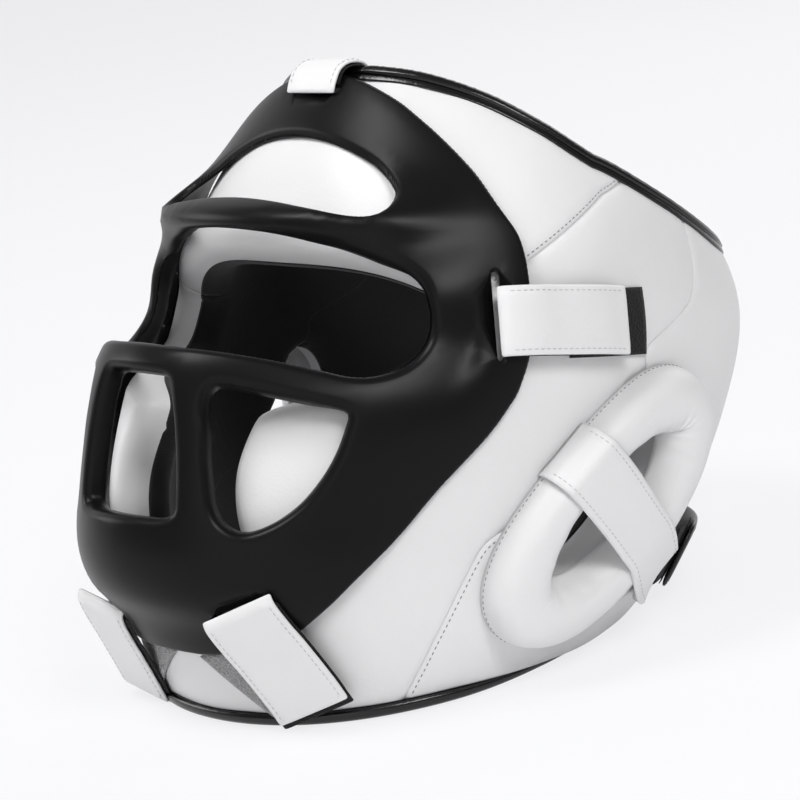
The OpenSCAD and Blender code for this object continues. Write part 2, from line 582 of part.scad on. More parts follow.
module face_mask() {
  color([0.13, 0.13, 0.14]) stand() resize([mask_breadth, 0, 0]) difference() {
    slab([for (line = mask_grid) [for (q = line) skin(MASK, q[0], q[1])]],
         [for (line = mask_grid) [for (q = line) at(MASK, q[0], q[1], -mask_t(q[0], q[1]))]]);
    window(rounded(both_halves(EYE)), edge_round);
    window(rounded(both_halves(BROW)), min(edge_round, mask_wall - 0.8));
    window(both_halves(MOUTH), edge_round);
    for (m = [0, 1])
      mirror([m, 0, 0]) {
        window(rounded(CHEEK), edge_round);
        slot_place(side_s, side_e, side_n)
          translate([-0.5, side_spare/2])
            slot(slot_spare + side_spare);
        slot_place(chin_s, chin_e, chin_n)
          slot(slot_spare);
      }
    top_plane()
      translate(top_s)
        rotate([90, 0, atan2(-rim_n[1], rim_n[2])])
          slot(slot_spare);
  }
}

module rim_binding() { color("black") stand() ring_sweep(rim_loops); }
module base_binding() { color("black") stand() ring_sweep(base_loops); }
module ear_ring(left) { color("white") stand() left_right(left) ring_sweep(ring_loops); }
module ear_strap(left) { color("gainsboro") stand() left_right(left) slab(strap_inner, strap_outer); }

module top_tab() { color("white") stand() top_plane() strap_leather(top_path(0)); }
module top_hook() { color("black") stand() top_plane() strap_hook(top_path(2)); }
module side_tab(left) {
  color("white") stand() left_right(left) along_strap(side_s, side_e, side_n)
    strap_leather(strap_path(norm(side_e - side_s), SIDE_LIFT, 0, 0));
}
module side_hook(left) {
  color("black") stand() left_right(left) along_strap(side_s, side_e, side_n)
    strap_hook(strap_path(norm(side_e - side_s), SIDE_LIFT, 1, hook_show));
}
module chin_tab(left) {
  color("white") stand() left_right(left) along_strap(chin_s, chin_e, chin_n)
    strap_leather(strap_path(norm(chin_e - chin_s), CHIN_LIFT, 0, 0));
}
module chin_hook(left) {
  color("black") stand() left_right(left) along_strap(chin_s, chin_e, chin_n)
    strap_hook(strap_path(norm(chin_e - chin_s), CHIN_LIFT, 1, hook_show));
}
module side_loop(left) {
  color("dimgray") stand() left_right(left)
    patch(patch_grid([77, 24.5], [92.5, 24], [92, 48.5], [76, 49]), layer_gap, loop_wall);
}
module chin_loop(left) {
  color("gainsboro") stand() left_right(left)
    patch(patch_grid([28.5, -105], [41, -97], [28, -78], [10, -84]), layer_gap, loop_wall);
}
// The nape strap is folded round a cord at its sewn end, on which it swings
cord_r = 1.8;
module nape_cord() {
  low = at(SHELL, 360 - nape_end, nape_z - nape_h/2 + 1, nape_seat + cord_r);
  high = at(SHELL, 360 - nape_end, nape_z + nape_h/2 - 1, nape_seat + cord_r);
  run = high - low;
  translate(low)
    rotate([0, acos(run[2]/norm(run)), atan2(run[1], run[0])])
      cylinder(h = norm(run), r = cord_r, $fn = 24);
}
module nape_strap() {
  grid = nape_grid(nape_end, 360 - nape_end, 18, nape_h);
  color([0.08, 0.08, 0.08]) stand() {
    slab(nape_face(grid, nape_wall), nape_face(grid, 0));
    nape_cord();
  }
}
module nape_hook() {
  grid = nape_grid(nape_end, nape_end + nape_hook_len, 2, nape_h - 4);
  color("black") stand() patch(grid, nape_in - nape_hook_wall, nape_hook_wall - sewn_gap);
}
module nape_loop() {
  grid = nape_grid(nape_end - 2, nape_end + nape_loop_len, 4, ear_strap_w - 3);
  color("dimgray") stand() patch(grid, nape_seat, nape_loop_wall);
}

forehead_cover();
chin_cover();
side_cover(true);  // left_side_cover
side_cover(false);  // right_side_cover
rear_cover(true);  // left_rear_cover
rear_cover(false);  // right_rear_cover
forehead_foam();
chin_foam();
side_foam(true);  // left_side_foam
side_foam(false);  // right_side_foam
rear_foam(true);  // left_rear_foam
rear_foam(false);  // right_rear_foam
forehead_lining();
chin_lining();
side_lining(true);  // left_side_lining
side_lining(false);  // right_side_lining
rear_lining(true);  // left_rear_lining
rear_lining(false);  // right_rear_lining
face_mask();
rim_binding();
base_binding();
ear_ring(true);  // left_ear_ring
ear_ring(false);  // right_ear_ring
ear_strap(true);  // left_ear_strap
ear_strap(false);  // right_ear_strap
top_tab();
top_hook();
side_tab(true);  // left_side_tab
side_tab(false);  // right_side_tab
side_hook(true);  // left_side_hook
side_hook(false);  // right_side_hook
side_loop(true);  // left_side_loop
side_loop(false);  // right_side_loop
chin_tab(true);  // left_chin_tab
chin_tab(false);  // right_chin_tab
chin_hook(true);  // left_chin_hook
chin_hook(false);  // right_chin_hook
chin_loop(true);  // left_chin_loop
chin_loop(false);  // right_chin_loop
nape_strap();
nape_hook();
nape_loop();
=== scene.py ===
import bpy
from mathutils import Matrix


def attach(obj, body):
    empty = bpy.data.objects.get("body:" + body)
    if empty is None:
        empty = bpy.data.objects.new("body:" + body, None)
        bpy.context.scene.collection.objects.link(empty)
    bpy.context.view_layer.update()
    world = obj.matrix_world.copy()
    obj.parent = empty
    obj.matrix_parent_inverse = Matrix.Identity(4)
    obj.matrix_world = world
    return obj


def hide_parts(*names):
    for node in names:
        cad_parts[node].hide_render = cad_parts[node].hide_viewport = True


bl_info = {
    "name": "Boxing headguard",
    "version": (1, 0, 0),
    "blender": (4, 5, 0),
    "location": "3D View > Sidebar > Headguard",
    "description": "Builds a padded headguard with a moulded face mask on its fixed frame",
    "category": "Object",
}

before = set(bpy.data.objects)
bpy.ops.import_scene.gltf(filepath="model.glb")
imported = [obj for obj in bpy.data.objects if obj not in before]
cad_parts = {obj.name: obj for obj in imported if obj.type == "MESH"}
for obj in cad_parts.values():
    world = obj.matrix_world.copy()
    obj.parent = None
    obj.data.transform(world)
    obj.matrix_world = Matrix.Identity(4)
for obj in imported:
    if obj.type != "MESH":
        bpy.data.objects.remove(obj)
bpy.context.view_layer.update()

import math

import bpy
import numpy as np
from mathutils import Matrix
from mathutils.geometry import delaunay_2d_cdt

# Shapes are worked out in millimetres in the helmet's own frame: X to the wearer's
# left, Y to the back, Z up, phi counted from the nose towards the left ear in degrees.

# Sections of the padded shell and of the mask's outer face, bottom to top: height,
# half-breadth, centre, front, back, roundness in front, roundness behind
SHELL = np.array([
    [-120, 79, -10, -94, 48, 2.1, 2.1], [-100, 84, -6, -101, 68, 2.1, 2.2],
    [-85, 89, -2, -106, 80, 2.1, 2.25], [-70, 94, 2, -112, 92, 2.1, 2.3],
    [-35, 101.5, 8, -119, 114, 2.1, 2.4], [0, 107, 12, -109, 128, 2.1, 2.5],
    [35, 108, 15, -92, 136, 2.1, 2.5], [65, 101, 18, -72, 125, 2.1, 2.4],
    [93, 86, 20, -57, 110, 2.1, 2.35], [115, 69, 22, -43, 97, 2.1, 2.35],
    [140, 46, 24, -27, 82, 2.1, 2.3]], float)
MASK = np.array([
    [-125, 82, -5, -92, 88, 2, 2.3], [-90, 93, 0, -111, 104, 2, 2.3],
    [-75, 97, 3, -121, 112, 2, 2.4], [-62, 101, 6, -134, 118, 1.95, 2.4],
    [-48, 104, 8, -140, 124, 1.9, 2.4], [-30, 107, 10, -140, 130, 1.85, 2.4],
    [0, 111, 12, -136, 138, 1.85, 2.5], [20, 112, 14, -132, 142, 1.85, 2.5],
    [30, 112, 15, -126, 143, 1.87, 2.5], [45, 110, 16, -108, 142, 1.95, 2.5],
    [66, 105, 18, -86, 136, 2, 2.5], [77, 101, 19, -81, 131, 2, 2.5],
    [93, 92, 20, -62, 122, 2.1, 2.5], [115, 74, 22, -48, 107, 2.1, 2.4],
    [140, 51, 24, -32, 89, 2.1, 2.3]], float)

# Margin of the mask: height and half-angle it reaches to
MASK_EDGE = np.array([
    [-85.5, 0], [-85.5, 9], [-84.5, 15], [-81, 23], [-75, 33], [-70, 38], [-60, 44.6], [-42, 52.3],
    [-20.5, 58.8], [-3, 64.8], [7, 67.5], [14, 69], [26.5, 70], [39, 69.5], [51, 68], [64, 65.6],
    [76, 62], [90, 54.6], [105, 44.5], [114, 36.5], [118.5, 31], [122.5, 24], [125.5, 17], [127.5, 10],
    [128.3, 5], [128.6, 0]])
# Window outlines as direction and height: right halves from the lower to the upper middle
EYE = [[0, 31.5], [9, 31], [18, 29.8], [27, 27.1], [35.2, 23.6], [40.6, 21.3], [44.8, 21.5], [48, 25],
       [49.4, 33], [49, 44], [46.8, 53], [41, 59.3], [30, 64.3], [18, 67], [9, 68.3], [0, 68.8]]
BROW = [[0, 82.4], [11, 81.6], [22, 79.6], [32, 77.4], [36.8, 77.6], [38.4, 80.6], [36.8, 85.4],
        [31, 91.4], [24, 97], [12, 102.6], [0, 104.6]]
MOUTH = [[0, -31.5], [7, -31.5], [12, -31.5], [15.3, -30], [16, -26], [15.2, -12], [13.2, 6],
         [11.6, 16], [10.6, 19], [8.5, 20.3], [4, 20.9], [0, 21]]
CHEEK = [[30, -35.3], [34.6, -31.5], [38.3, -25], [41, -16], [42.6, -7], [43.3, 1.6], [43.3, 7],
         [41.5, 9.3], [36, 12], [29, 15], [22, 17], [19.8, 15.5], [19.6, 8], [20.6, 0], [21.4, -10],
         [22.4, -18], [23.9, -28], [26.4, -33.5]]

# Edges of the shell's panels, as height and direction
SIDE_FRONT = np.array([[-52, 24], [-47, 21.5], [-38, 19], [-15, 15.5], [2, 16], [8, 18.5], [12, 26],
                       [14, 40], [17, 52], [21, 58], [27, 60], [38, 59], [44, 55]], float)
LOW_SEAM = np.array([[-77, 61], [-66, 63.2], [-59, 64.6], [-50, 66.4], [-43, 68.2], [-38, 71.5],
                     [-35.5, 76], [-34.5, 82.4]], float)
HIGH_SEAM = np.array([[12.5, 93.6], [19, 93.6], [27, 94], [38, 101.6], [44, 105.4], [57, 109.2]], float)
HOLE_FRONT = np.array([[-34.5, 82.4], [-27, 84.4], [-19, 87.1], [-10, 89.6], [-2, 90.6], [5, 91],
                       [10, 91.8], [12.5, 93.6]], float)
HOLE_REAR = np.array([[-34.5, 82.4], [-41, 80.8], [-48, 80.8], [-54, 82], [-57, 84.6], [-56, 87.6],
                      [-48, 91], [-38.5, 94.3], [-28, 97.5], [-17.5, 99.8], [-8, 100.4], [0, 99.8],
                      [7, 98], [11.3, 95.8], [12.5, 93.6]], float)
# The shell's upper edge, as direction and height
RIM = np.array([[-20, 128.7], [0, 129], [20, 128.6], [40, 126.1], [60, 119.2], [76, 109.1], [86, 100.2],
                [93, 93.4], [100, 86.3], [106, 80.6], [112, 75.2], [120, 69], [130, 63.6], [145, 59.3],
                [165, 57], [180, 56.5], [195, 57]], float)
# Where seams begin and end: directions, and heights marked Z
TEMPLE_FOOT, TEMPLE_FOOT_Z, TEMPLE_TOP = 55.0, 44.0, 96.0
REAR_TOP, JAW_SEAM, CHIN_SEAM, CHIN_TOP_Z = 111.5, 56.1, 24.0, -52.0
BROW_Z = 63.5
RIM_INSET = 2.0
# The mask's brow rail and the eye window's lower corners: depth, height, half-height of the bell
RAIL_RISE, RAIL_Z, RAIL_SPREAD = 8.5, 75.0, 9.0
CORNER_DEPTH, CORNER_Z, CORNER_SPREAD = 10.5, 31.0, 15.0

PITCH = math.radians(12)
FLOOR_Z = -93.0
BINDING_H = 5.0
LAYER_GAP = 0.3
# Millimetres that one degree of phi counts for where flat distances are needed
DEGREE = 1.9
HANDS = (("left", 1), ("right", -1))


def smooth(t):
    """3 t^2 - 2 t^3 on t held between 0 and 1."""
    t = np.clip(t, 0, 1)
    return t*t*(3 - 2*t)


def signed_power(x, power):
    """x raised to a power with its sign kept."""
    return np.sign(x)*np.abs(x)**power


def section(table, z):
    """Row of a table at each height: cubic curves whose slope at a row joins its neighbours."""
    low = np.vstack([table[:1], table[:-1]])
    high = np.vstack([table[1:], table[-1:]])
    slopes = (high - low)/(high[:, :1] - low[:, :1])
    i = np.clip(np.searchsorted(table[:, 0], z, side="right") - 1, 0, len(table) - 2)
    a, b = table[i], table[i + 1]
    h = b[..., :1] - a[..., :1]
    t = np.clip((np.asarray(z)[..., None] - a[..., :1])/h, 0, 1)
    return (a*(1 + 2*t)*(1 - t)**2 + slopes[i]*h*t*(1 - t)**2
            + b*t*t*(3 - 2*t) + slopes[i + 1]*h*t*t*(t - 1))


def skin(table, phi, z):
    """Point of a sectioned surface: half-breadth times sin phi and reach times cos phi, both raised
    to 2/n, where n is the roundness."""
    phi, z = np.broadcast_arrays(np.asarray(phi, float), np.asarray(z, float))
    r = section(table, z)
    s, c = np.sin(np.radians(phi)), np.cos(np.radians(phi))
    front = c > 0
    n = np.where(front, r[..., 5], r[..., 6])
    reach = np.where(front, r[..., 3], r[..., 4]) - r[..., 2]
    depth = r[..., 2] + reach*np.abs(c)**(2/n)
    if table is MASK:
        depth = depth + rail_relief(np.abs(phi), z)
    return np.stack([r[..., 1]*signed_power(s, 2/n), depth, z], -1)


def rail_relief(a, z):
    """How far the mask's rails leave the sections: the brow rail stands forward as a roll, a bell over
    height that fades to the sides, and the eye window's lower corners lie back."""
    brow = RAIL_RISE*np.exp(-((z - RAIL_Z)/RAIL_SPREAD)**2)*smooth((54 - a)/20)
    bell = np.exp(-((z - CORNER_Z)/CORNER_SPREAD)**2)
    corner = CORNER_DEPTH*bell*smooth((a - 10)/30)*smooth((65 - a)/9)
    return corner - brow


def unit(v):
    """Vectors divided by their lengths."""
    return v/np.linalg.norm(v, axis=-1, keepdims=True)


def surface_slopes(table, phi, z):
    """Slopes of a surface along phi and along z, each over one unit."""
    return (skin(table, phi + 0.5, z) - skin(table, phi - 0.5, z),
            skin(table, phi, z + 0.5) - skin(table, phi, z - 0.5))


def outward(table, phi, z):
    """Normal of a sectioned surface: cross product of its slopes along phi and along z."""
    phi, z = np.asarray(phi, float), np.asarray(z, float)
    return unit(np.cross(*surface_slopes(table, phi, z)))


def surface_step(table, place, step):
    """A step in space as a step in phi and z, by the surface's own metric."""
    j_phi, j_z = surface_slopes(table, place[:, 0], place[:, 1])
    e, f, g = (j_phi*j_phi).sum(1), (j_phi*j_z).sum(1), (j_z*j_z).sum(1)
    p, q = (step*j_phi).sum(1), (step*j_z).sum(1)
    det = e*g - f*f
    return np.stack([(g*p - f*q)/det, (e*q - f*p)/det], -1)


def over(table, phi, z, off):
    """Point at a distance off the surface along its normal."""
    return skin(table, phi, z) + outward(table, phi, z)*np.asarray(off)[..., None]


def flank(y, z, off):
    """Point off the shell's left side at depth y and height z: phi comes from the section's formula."""
    r = section(SHELL, z)
    behind = y > r[..., 2]
    reach = np.where(behind, r[..., 4], r[..., 3]) - r[..., 2]
    n = np.where(behind, r[..., 6], r[..., 5])
    c = np.clip((y - r[..., 2])/reach, 0, 1)**(n/2)
    phi = np.degrees(np.where(behind, np.pi - np.arccos(c), np.arccos(c)))
    return over(SHELL, phi, z, off)


def rim_z(phi):
    """Height of the shell's upper edge, read from its table at each direction."""
    return section(RIM, np.abs(phi))[..., 1]


def rim_end(phi):
    """Height at which a panel ends under the binding of the upper edge."""
    return float(rim_z(phi)) - RIM_INSET


def seam_phi(z):
    """Seam between forehead and side panel, from its foot at the temple to its place at the rim."""
    top = rim_end(TEMPLE_TOP)
    rise = np.clip((z - TEMPLE_FOOT_Z)/(top - TEMPLE_FOOT_Z), 0, 1)
    return TEMPLE_FOOT + (TEMPLE_TOP - TEMPLE_FOOT)*rise**1.3


EDGE_LOW = (BINDING_H + LAYER_GAP)/math.cos(PITCH)


def base_z(phi, rise=EDGE_LOW):
    """Height at which the shell meets the base plane raised by rise: seven steps of substitution."""
    z = np.full(np.shape(phi), FLOOR_Z + rise)
    for _ in range(7):
        z = FLOOR_Z + rise + math.tan(PITCH)*skin(SHELL, phi, z)[..., 1]
    return z


def edge_drop(phi):
    """How much lower the padding hangs over the lower binding behind the jaw, in millimetres."""
    return 3.9*smooth((np.abs(phi) - 58)/48)


PITCHED = np.array([[1, 0, 0], [0, math.cos(PITCH), math.sin(PITCH)],
                    [0, -math.sin(PITCH), math.cos(PITCH)]])
SHIFT = np.array([0, 1.139, -FLOOR_Z*math.cos(PITCH)])


def stand(points):
    """The helmet pitched back by 12 degrees about X and set down on the floor, in metres."""
    return (points @ PITCHED.T + SHIFT)/1000


def add_object(name, data, axes=None, place=None):
    """A new object in the scene, turned to three axes at a place where those are given."""
    piece = bpy.data.objects.new(name, data)
    bpy.context.scene.collection.objects.link(piece)
    if axes is not None:
        turn = np.eye(4)
        turn[:3, :3], turn[:3, 3] = np.stack(axes, -1), place
        piece.matrix_world = Matrix(turn.tolist())
    return piece


def add_mesh(name, points, faces, material, body, slot, uv=None, side=1):
    """A piece from points in the helmet's frame and triangles or quads; side -1 mirrors it across X."""
    points = np.asarray(points, float).reshape(-1, 3)*[side, 1, 1]
    faces = np.asarray(faces, int)
    if side < 0:
        faces = faces[:, ::-1]
    mesh = bpy.data.meshes.new(name)
    mesh.vertices.add(len(points))
    mesh.vertices.foreach_set("co", stand(points).ravel())
    mesh.loops.add(faces.size)
    mesh.loops.foreach_set("vertex_index", faces.ravel())
    mesh.polygons.add(len(faces))
    mesh.polygons.foreach_set("loop_start", np.arange(0, faces.size, faces.shape[1]))
    mesh.polygons.foreach_set("use_smooth", np.ones(len(faces), bool))
    if uv is not None:
        layer = mesh.uv_layers.new(name="UVMap")
        layer.data.foreach_set("uv", np.asarray(uv, float).reshape(-1, 2)[faces.ravel()].ravel())
    mesh.update(calc_edges=True)
    mesh.validate()
    mesh.materials.append(material)
    piece = add_object(name, mesh)
    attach(piece, body)
    return piece


def grid_faces(rows, columns, wrap_rows=False, wrap_columns=False):
    """Quads between neighbours of a grid of points, closed round either way where asked."""
    i = np.arange(rows if wrap_rows else rows - 1)
    j = np.arange(columns if wrap_columns else columns - 1)
    i, j = np.meshgrid(i, j, indexing="ij")
    i2, j2 = (i + 1) % rows, (j + 1) % columns
    quads = [i*columns + j, i*columns + j2, i2*columns + j2, i2*columns + j]
    return np.stack(quads, -1).reshape(-1, 4)


def slab(outer, inner):
    """Points and quads of a closed solid between two grids of points, joined round their edge."""
    rows, columns = outer.shape[:2]
    n = rows*columns
    faces = grid_faces(rows, columns)
    ring = np.concatenate([np.arange(columns), np.arange(1, rows)*columns + columns - 1,
                           (rows - 1)*columns + np.arange(columns - 2, -1, -1),
                           np.arange(rows - 2, 0, -1)*columns])
    after = np.roll(ring, -1)
    sides = np.stack([ring, ring + n, after + n, after], -1)
    points = np.vstack([outer.reshape(-1, 3), inner.reshape(-1, 3)])
    return points, np.vstack([faces, faces[:, ::-1] + n, sides])


def cubic(a, b, c, d, t):
    """The cubic from b to c whose slopes there are half the chords a to c and b to d."""
    return b + 0.5*t*(c - a + t*(2*a - 5*b + 4*c - d + t*(3*(b - c) + d - a)))


def spline(before, points, after, count):
    """That cubic through a row of points, at count places, with one more point before and after."""
    q = np.vstack([before, points, after])
    fine = np.linspace(0, len(points) - 1, count)
    i = np.minimum(fine.astype(int), len(points) - 2)
    return cubic(q[i], q[i + 1], q[i + 2], q[i + 3], (fine - i)[:, None])


def lengths(line, scale=1.0):
    """Length run from a line's start to each of its points."""
    return np.concatenate([[0], np.cumsum(np.linalg.norm(np.diff(line, axis=0)*scale, axis=1))])


def sample(s, size, line):
    """Points of a line at the lengths s, where size is the length run at its own points."""
    return np.stack([np.interp(s, size, line[:, k]) for k in range(line.shape[1])], -1)


def even(points, step, closed=False):
    """A curve through points at even steps: cubics through them, then cut at equal lengths.
    Lengths count phi as DEGREE millimetres a degree."""
    p = np.asarray(points, float)
    t = np.linspace(0, 1, 12, endpoint=False)[:, None, None]
    if closed:
        a, b, c, d = np.roll(p, 1, 0), p, np.roll(p, -1, 0), np.roll(p, -2, 0)
    else:
        q = np.vstack([2*p[0] - p[1], p, 2*p[-1] - p[-2]])
        a, b, c, d = q[:-3], q[1:-2], q[2:-1], q[3:]
    curve = np.swapaxes(cubic(a, b, c, d, t), 0, 1).reshape(-1, 2)
    curve = np.vstack([curve, p[:1] if closed else p[-1:]])
    size = lengths(curve, [DEGREE, 1])
    count = max(int(round(size[-1]/step)), 2)
    out = sample(np.linspace(0, size[-1], count + 1), size, curve)
    return out[:-1] if closed else out


def mirrored(loop):
    """A loop of directions and heights on the other side, run so that its left stays its left."""
    return loop[::-1]*[-1, 1]


def both_halves(half):
    """A right half outline closed by its own mirror image."""
    half = np.asarray(half, float)
    return np.vstack([half, mirrored(half[1:-1])])


def inside(points, loop):
    """Which points lie in a closed loop: a ray along the first axis crosses it an odd number of
    times."""
    a, b = loop, np.roll(loop, -1, 0)
    y = points[:, None, 1]
    crosses = (a[None, :, 1] > y) != (b[None, :, 1] > y)
    with np.errstate(divide="ignore", invalid="ignore"):
        x = a[None, :, 0] + (y - a[None, :, 1])*(b - a)[None, :, 0]/(b - a)[None, :, 1]
    return (np.sum(crosses & (points[:, None, 0] < x), 1) % 2) == 1


def distance(points, line):
    """Least distance from each point to the segments of an open line of points in space."""
    a, d = line[:-1].astype(np.float32), np.diff(line, axis=0).astype(np.float32)
    size = np.maximum((d*d).sum(1), 1e-9)
    out = np.empty(len(points), np.float32)
    for i in range(0, len(points), 1500):
        p = points[i:i + 1500].astype(np.float32)
        t = np.clip((p @ d.T - (a*d).sum(1))/size, 0, 1)
        gap = ((p*p).sum(1)[:, None] + (a*a).sum(1) - 2*p @ a.T
               - 2*t*(p @ d.T - (a*d).sum(1)) + t*t*size)
        out[i:i + 1500] = np.sqrt(np.maximum(gap.min(1), 0))
    return out.astype(float)


def offset(table, loop, d, closed=True):
    """Points moved by d to the left of a loop within the surface."""
    place = skin(table, loop[:, 0], loop[:, 1])
    if closed:
        along = np.roll(place, -1, 0) - np.roll(place, 1, 0)
    else:
        along = np.gradient(place, axis=0)
    normal = outward(table, loop[:, 0], loop[:, 1])
    side = unit(np.cross(normal, along))*np.reshape(d, (-1, 1))
    return loop + surface_step(table, loop, side)


def closed_run(table, loop):
    """The surface's points along a loop, the first one repeated at the end."""
    return skin(table, np.append(loop[:, 0], loop[0, 0]), np.append(loop[:, 1], loop[0, 1]))


def tile(table, outline, holes, step, rings):
    """Triangles over a region of a surface with holes. Points lie on its edges, on rings beside them
    and on a staggered grid between, and are joined in phi and z by triangles as even as the edges
    allow.
    Returns the points as phi and z, the triangles, and the loops of edge points."""
    loops = [outline] + list(holes)
    scale = np.array([DEGREE, 1.0])
    points, edges, at = list(loops), [], 0
    for loop in loops:
        k = np.arange(len(loop))
        edges.append(np.stack([at + k, at + (k + 1) % len(loop)], -1))
        at += len(loop)
    lo, hi = outline.min(0)*scale, outline.max(0)*scale
    gx, gy = np.meshgrid(np.arange(lo[0], hi[0], step), np.arange(lo[1], hi[1], step*0.87),
                         indexing="ij")
    gx = gx + (np.arange(gx.shape[1]) % 2)*step/2
    grid = np.stack([gx.ravel(), gy.ravel()], -1)/scale
    flat = [closed_run(table, loop) for loop in loops]

    def within(scaled):
        """Which scaled points lie in the outline and in none of the holes."""
        keep = inside(scaled, outline*scale)
        for hole in holes:
            keep &= ~inside(scaled, hole*scale)
        return keep

    def clear(candidates, least):
        """The candidates within the region and further than least from its edges."""
        candidates = candidates[within(candidates*scale)]
        place = skin(table, candidates[:, 0], candidates[:, 1])
        gap = np.min([distance(place, line) for line in flat], 0)
        return candidates[gap > least]

    for loop, ring in zip(loops, rings):
        points += [clear(offset(table, loop, d), d*0.93) for d in ring]
    points.append(clear(grid, max(d for ring in rings for d in ring) + 0.45*step))
    points = np.vstack(points)
    net = delaunay_2d_cdt((points*scale).tolist(), np.vstack(edges).tolist(), [], 0, 1e-7, True)
    origin = np.array([o[0] for o in net[3]])
    xy = np.array([tuple(v) for v in net[0]])/scale
    faces = np.array([f for f in net[2] if len(f) == 3])
    faces = faces[within(xy[faces].mean(1)*scale)]
    a, b, c = (xy[faces[:, k]]*scale for k in range(3))
    b, c = b - a, c - a
    turned = b[:, 0]*c[:, 1] - b[:, 1]*c[:, 0] < 0
    faces[turned] = faces[turned][:, ::-1]
    back = np.full(len(points), -1)
    back[origin] = np.arange(len(xy))
    index, at = [], 0
    for loop in loops:
        index.append(back[at:at + len(loop)])
        at += len(loop)
    return xy, faces, index


def wall(outer, inner, faces, loops, belts=2):
    """Closed solid between an outer and an inner net of points: the inner triangles are turned over,
    and belts of quads join the loops of edge points."""
    n = len(outer)
    points, tris = [outer, inner], [faces, faces[:, ::-1] + n]
    at = 2*n
    for loop in loops:
        rows = [loop]
        for k in range(1, belts):
            points.append(outer[loop] + (inner[loop] - outer[loop])*k/belts)
            rows.append(np.arange(at, at + len(loop)))
            at += len(loop)
        rows.append(loop + n)
        for a, b in zip(rows[:-1], rows[1:]):
            a2, b2 = np.roll(a, -1), np.roll(b, -1)
            tris += [np.stack([a, b, b2], -1), np.stack([a, b2, a2], -1)]
    return np.vstack(points), np.vstack(tris)


def rounding(d, r):
    """Depth of a rounded edge at a distance d from it: r less the height of a circle of radius r."""
    e = np.clip(r - d, 0, r)
    return r - np.sqrt(np.maximum(r*r - e*e, 0))


ROUND_STEPS = np.array([0.034, 0.134, 0.293, 0.5, 0.75, 1.0])


# MATERIALS

def shade(colour, share):
    """A colour at a share of its strength."""
    return tuple(c*share for c in colour)


def new_material(name, colour, roughness, specular=0.5, sheen=0.0):
    """A material with its shader, and its node tree for what follows."""
    material = bpy.data.materials.new(name)
    material.use_nodes = True
    tree = material.node_tree
    shader = tree.nodes["Principled BSDF"]
    shader.inputs["Base Color"].default_value = (*colour, 1)
    for key, value in (("Roughness", roughness), ("Specular IOR Level", specular),
                       ("Sheen Weight", sheen)):
        shader.inputs[key].default_value = value
    return material, tree, shader


def pattern(tree, kind, output, **inputs):
    """The output of a texture node of that kind, laid on the piece's own coordinates."""
    place = tree.nodes.new("ShaderNodeTexCoord")
    node = tree.nodes.new("ShaderNodeTex" + kind)
    for key, value in inputs.items():
        node.inputs[key].default_value = value
    tree.links.new(place.outputs["Object"], node.inputs["Vector"])
    return node.outputs[output]


def noise(tree, scale, detail):
    """A soft random pattern, scale in lumps a metre."""
    return pattern(tree, "Noise", "Fac", Scale=scale, Detail=detail)


def cells(tree, scale):
    """Rounded cells, scale in cells a metre."""
    return pattern(tree, "Voronoi", "Distance", Scale=scale)


def link_bump(tree, shader, height, strength, distance_m, under=None):
    """A bump of a height pattern, stacked on the one under it."""
    bump = tree.nodes.new("ShaderNodeBump")
    bump.inputs["Strength"].default_value = strength
    bump.inputs["Distance"].default_value = distance_m
    tree.links.new(height, bump.inputs["Height"])
    if under is not None:
        tree.links.new(under.outputs["Normal"], bump.inputs["Normal"])
    tree.links.new(bump.outputs["Normal"], shader.inputs["Normal"])
    return bump


def link_tint(tree, shader, factor, dark, light):
    """Base colour between two shades by a pattern."""
    ramp = tree.nodes.new("ShaderNodeMix")
    ramp.data_type = "RGBA"
    ramp.inputs["A"].default_value = (*dark, 1)
    ramp.inputs["B"].default_value = (*light, 1)
    tree.links.new(factor, ramp.inputs["Factor"])
    tree.links.new(ramp.outputs["Result"], shader.inputs["Base Color"])


def leather_material(name, colour, grain=0.12, roughness=0.42):
    """Coated leather: pebbled cells near 1 mm, fine pores, a slow drift of shade, soft folds."""
    material, tree, shader = new_material(name, colour, roughness, specular=0.45)
    folds = link_bump(tree, shader, noise(tree, 38, 3), 0.35, 0.0012)
    pebbles = link_bump(tree, shader, cells(tree, 900), grain, 0.00025, folds)
    link_bump(tree, shader, noise(tree, 2600, 2), grain*0.7, 0.00012, pebbles)
    link_tint(tree, shader, noise(tree, 14, 3), shade(colour, 0.95), colour)
    return material


def moulding_material(name, colour):
    """Satin moulded polymer: a fine spark-eroded texture and a slow drift of gloss."""
    material, tree, shader = new_material(name, colour, 0.4, specular=0.13)
    fine = link_bump(tree, shader, noise(tree, 1400, 3), 0.06, 0.0002)
    link_bump(tree, shader, noise(tree, 22, 2), 0.12, 0.001, fine)
    gloss = tree.nodes.new("ShaderNodeMapRange")
    gloss.inputs["To Min"].default_value = 0.3
    gloss.inputs["To Max"].default_value = 0.38
    tree.links.new(noise(tree, 30, 4), gloss.inputs["Value"])
    tree.links.new(gloss.outputs["Result"], shader.inputs["Roughness"])
    link_tint(tree, shader, noise(tree, 18, 2), shade(colour, 0.85), colour)
    return material


def woven_material(name, colour, pitch, strength):
    """Woven cloth: two sine waves crossing at the thread pitch, with lint between them."""
    material, tree, shader = new_material(name, colour, 0.85, sheen=0.12)
    both = tree.nodes.new("ShaderNodeMath")
    both.operation = "MULTIPLY"
    for k, direction in enumerate("XZ"):
        wave = pattern(tree, "Wave", "Fac", Scale=0.314/pitch, Distortion=0.4)
        wave.node.bands_direction = direction
        tree.links.new(wave, both.inputs[k])
    weave = link_bump(tree, shader, both.outputs["Value"], strength, 0.0004)
    link_bump(tree, shader, noise(tree, 900, 3), strength*0.5, 0.0003, weave)
    link_tint(tree, shader, noise(tree, 60, 4), shade(colour, 0.6), colour)
    return material


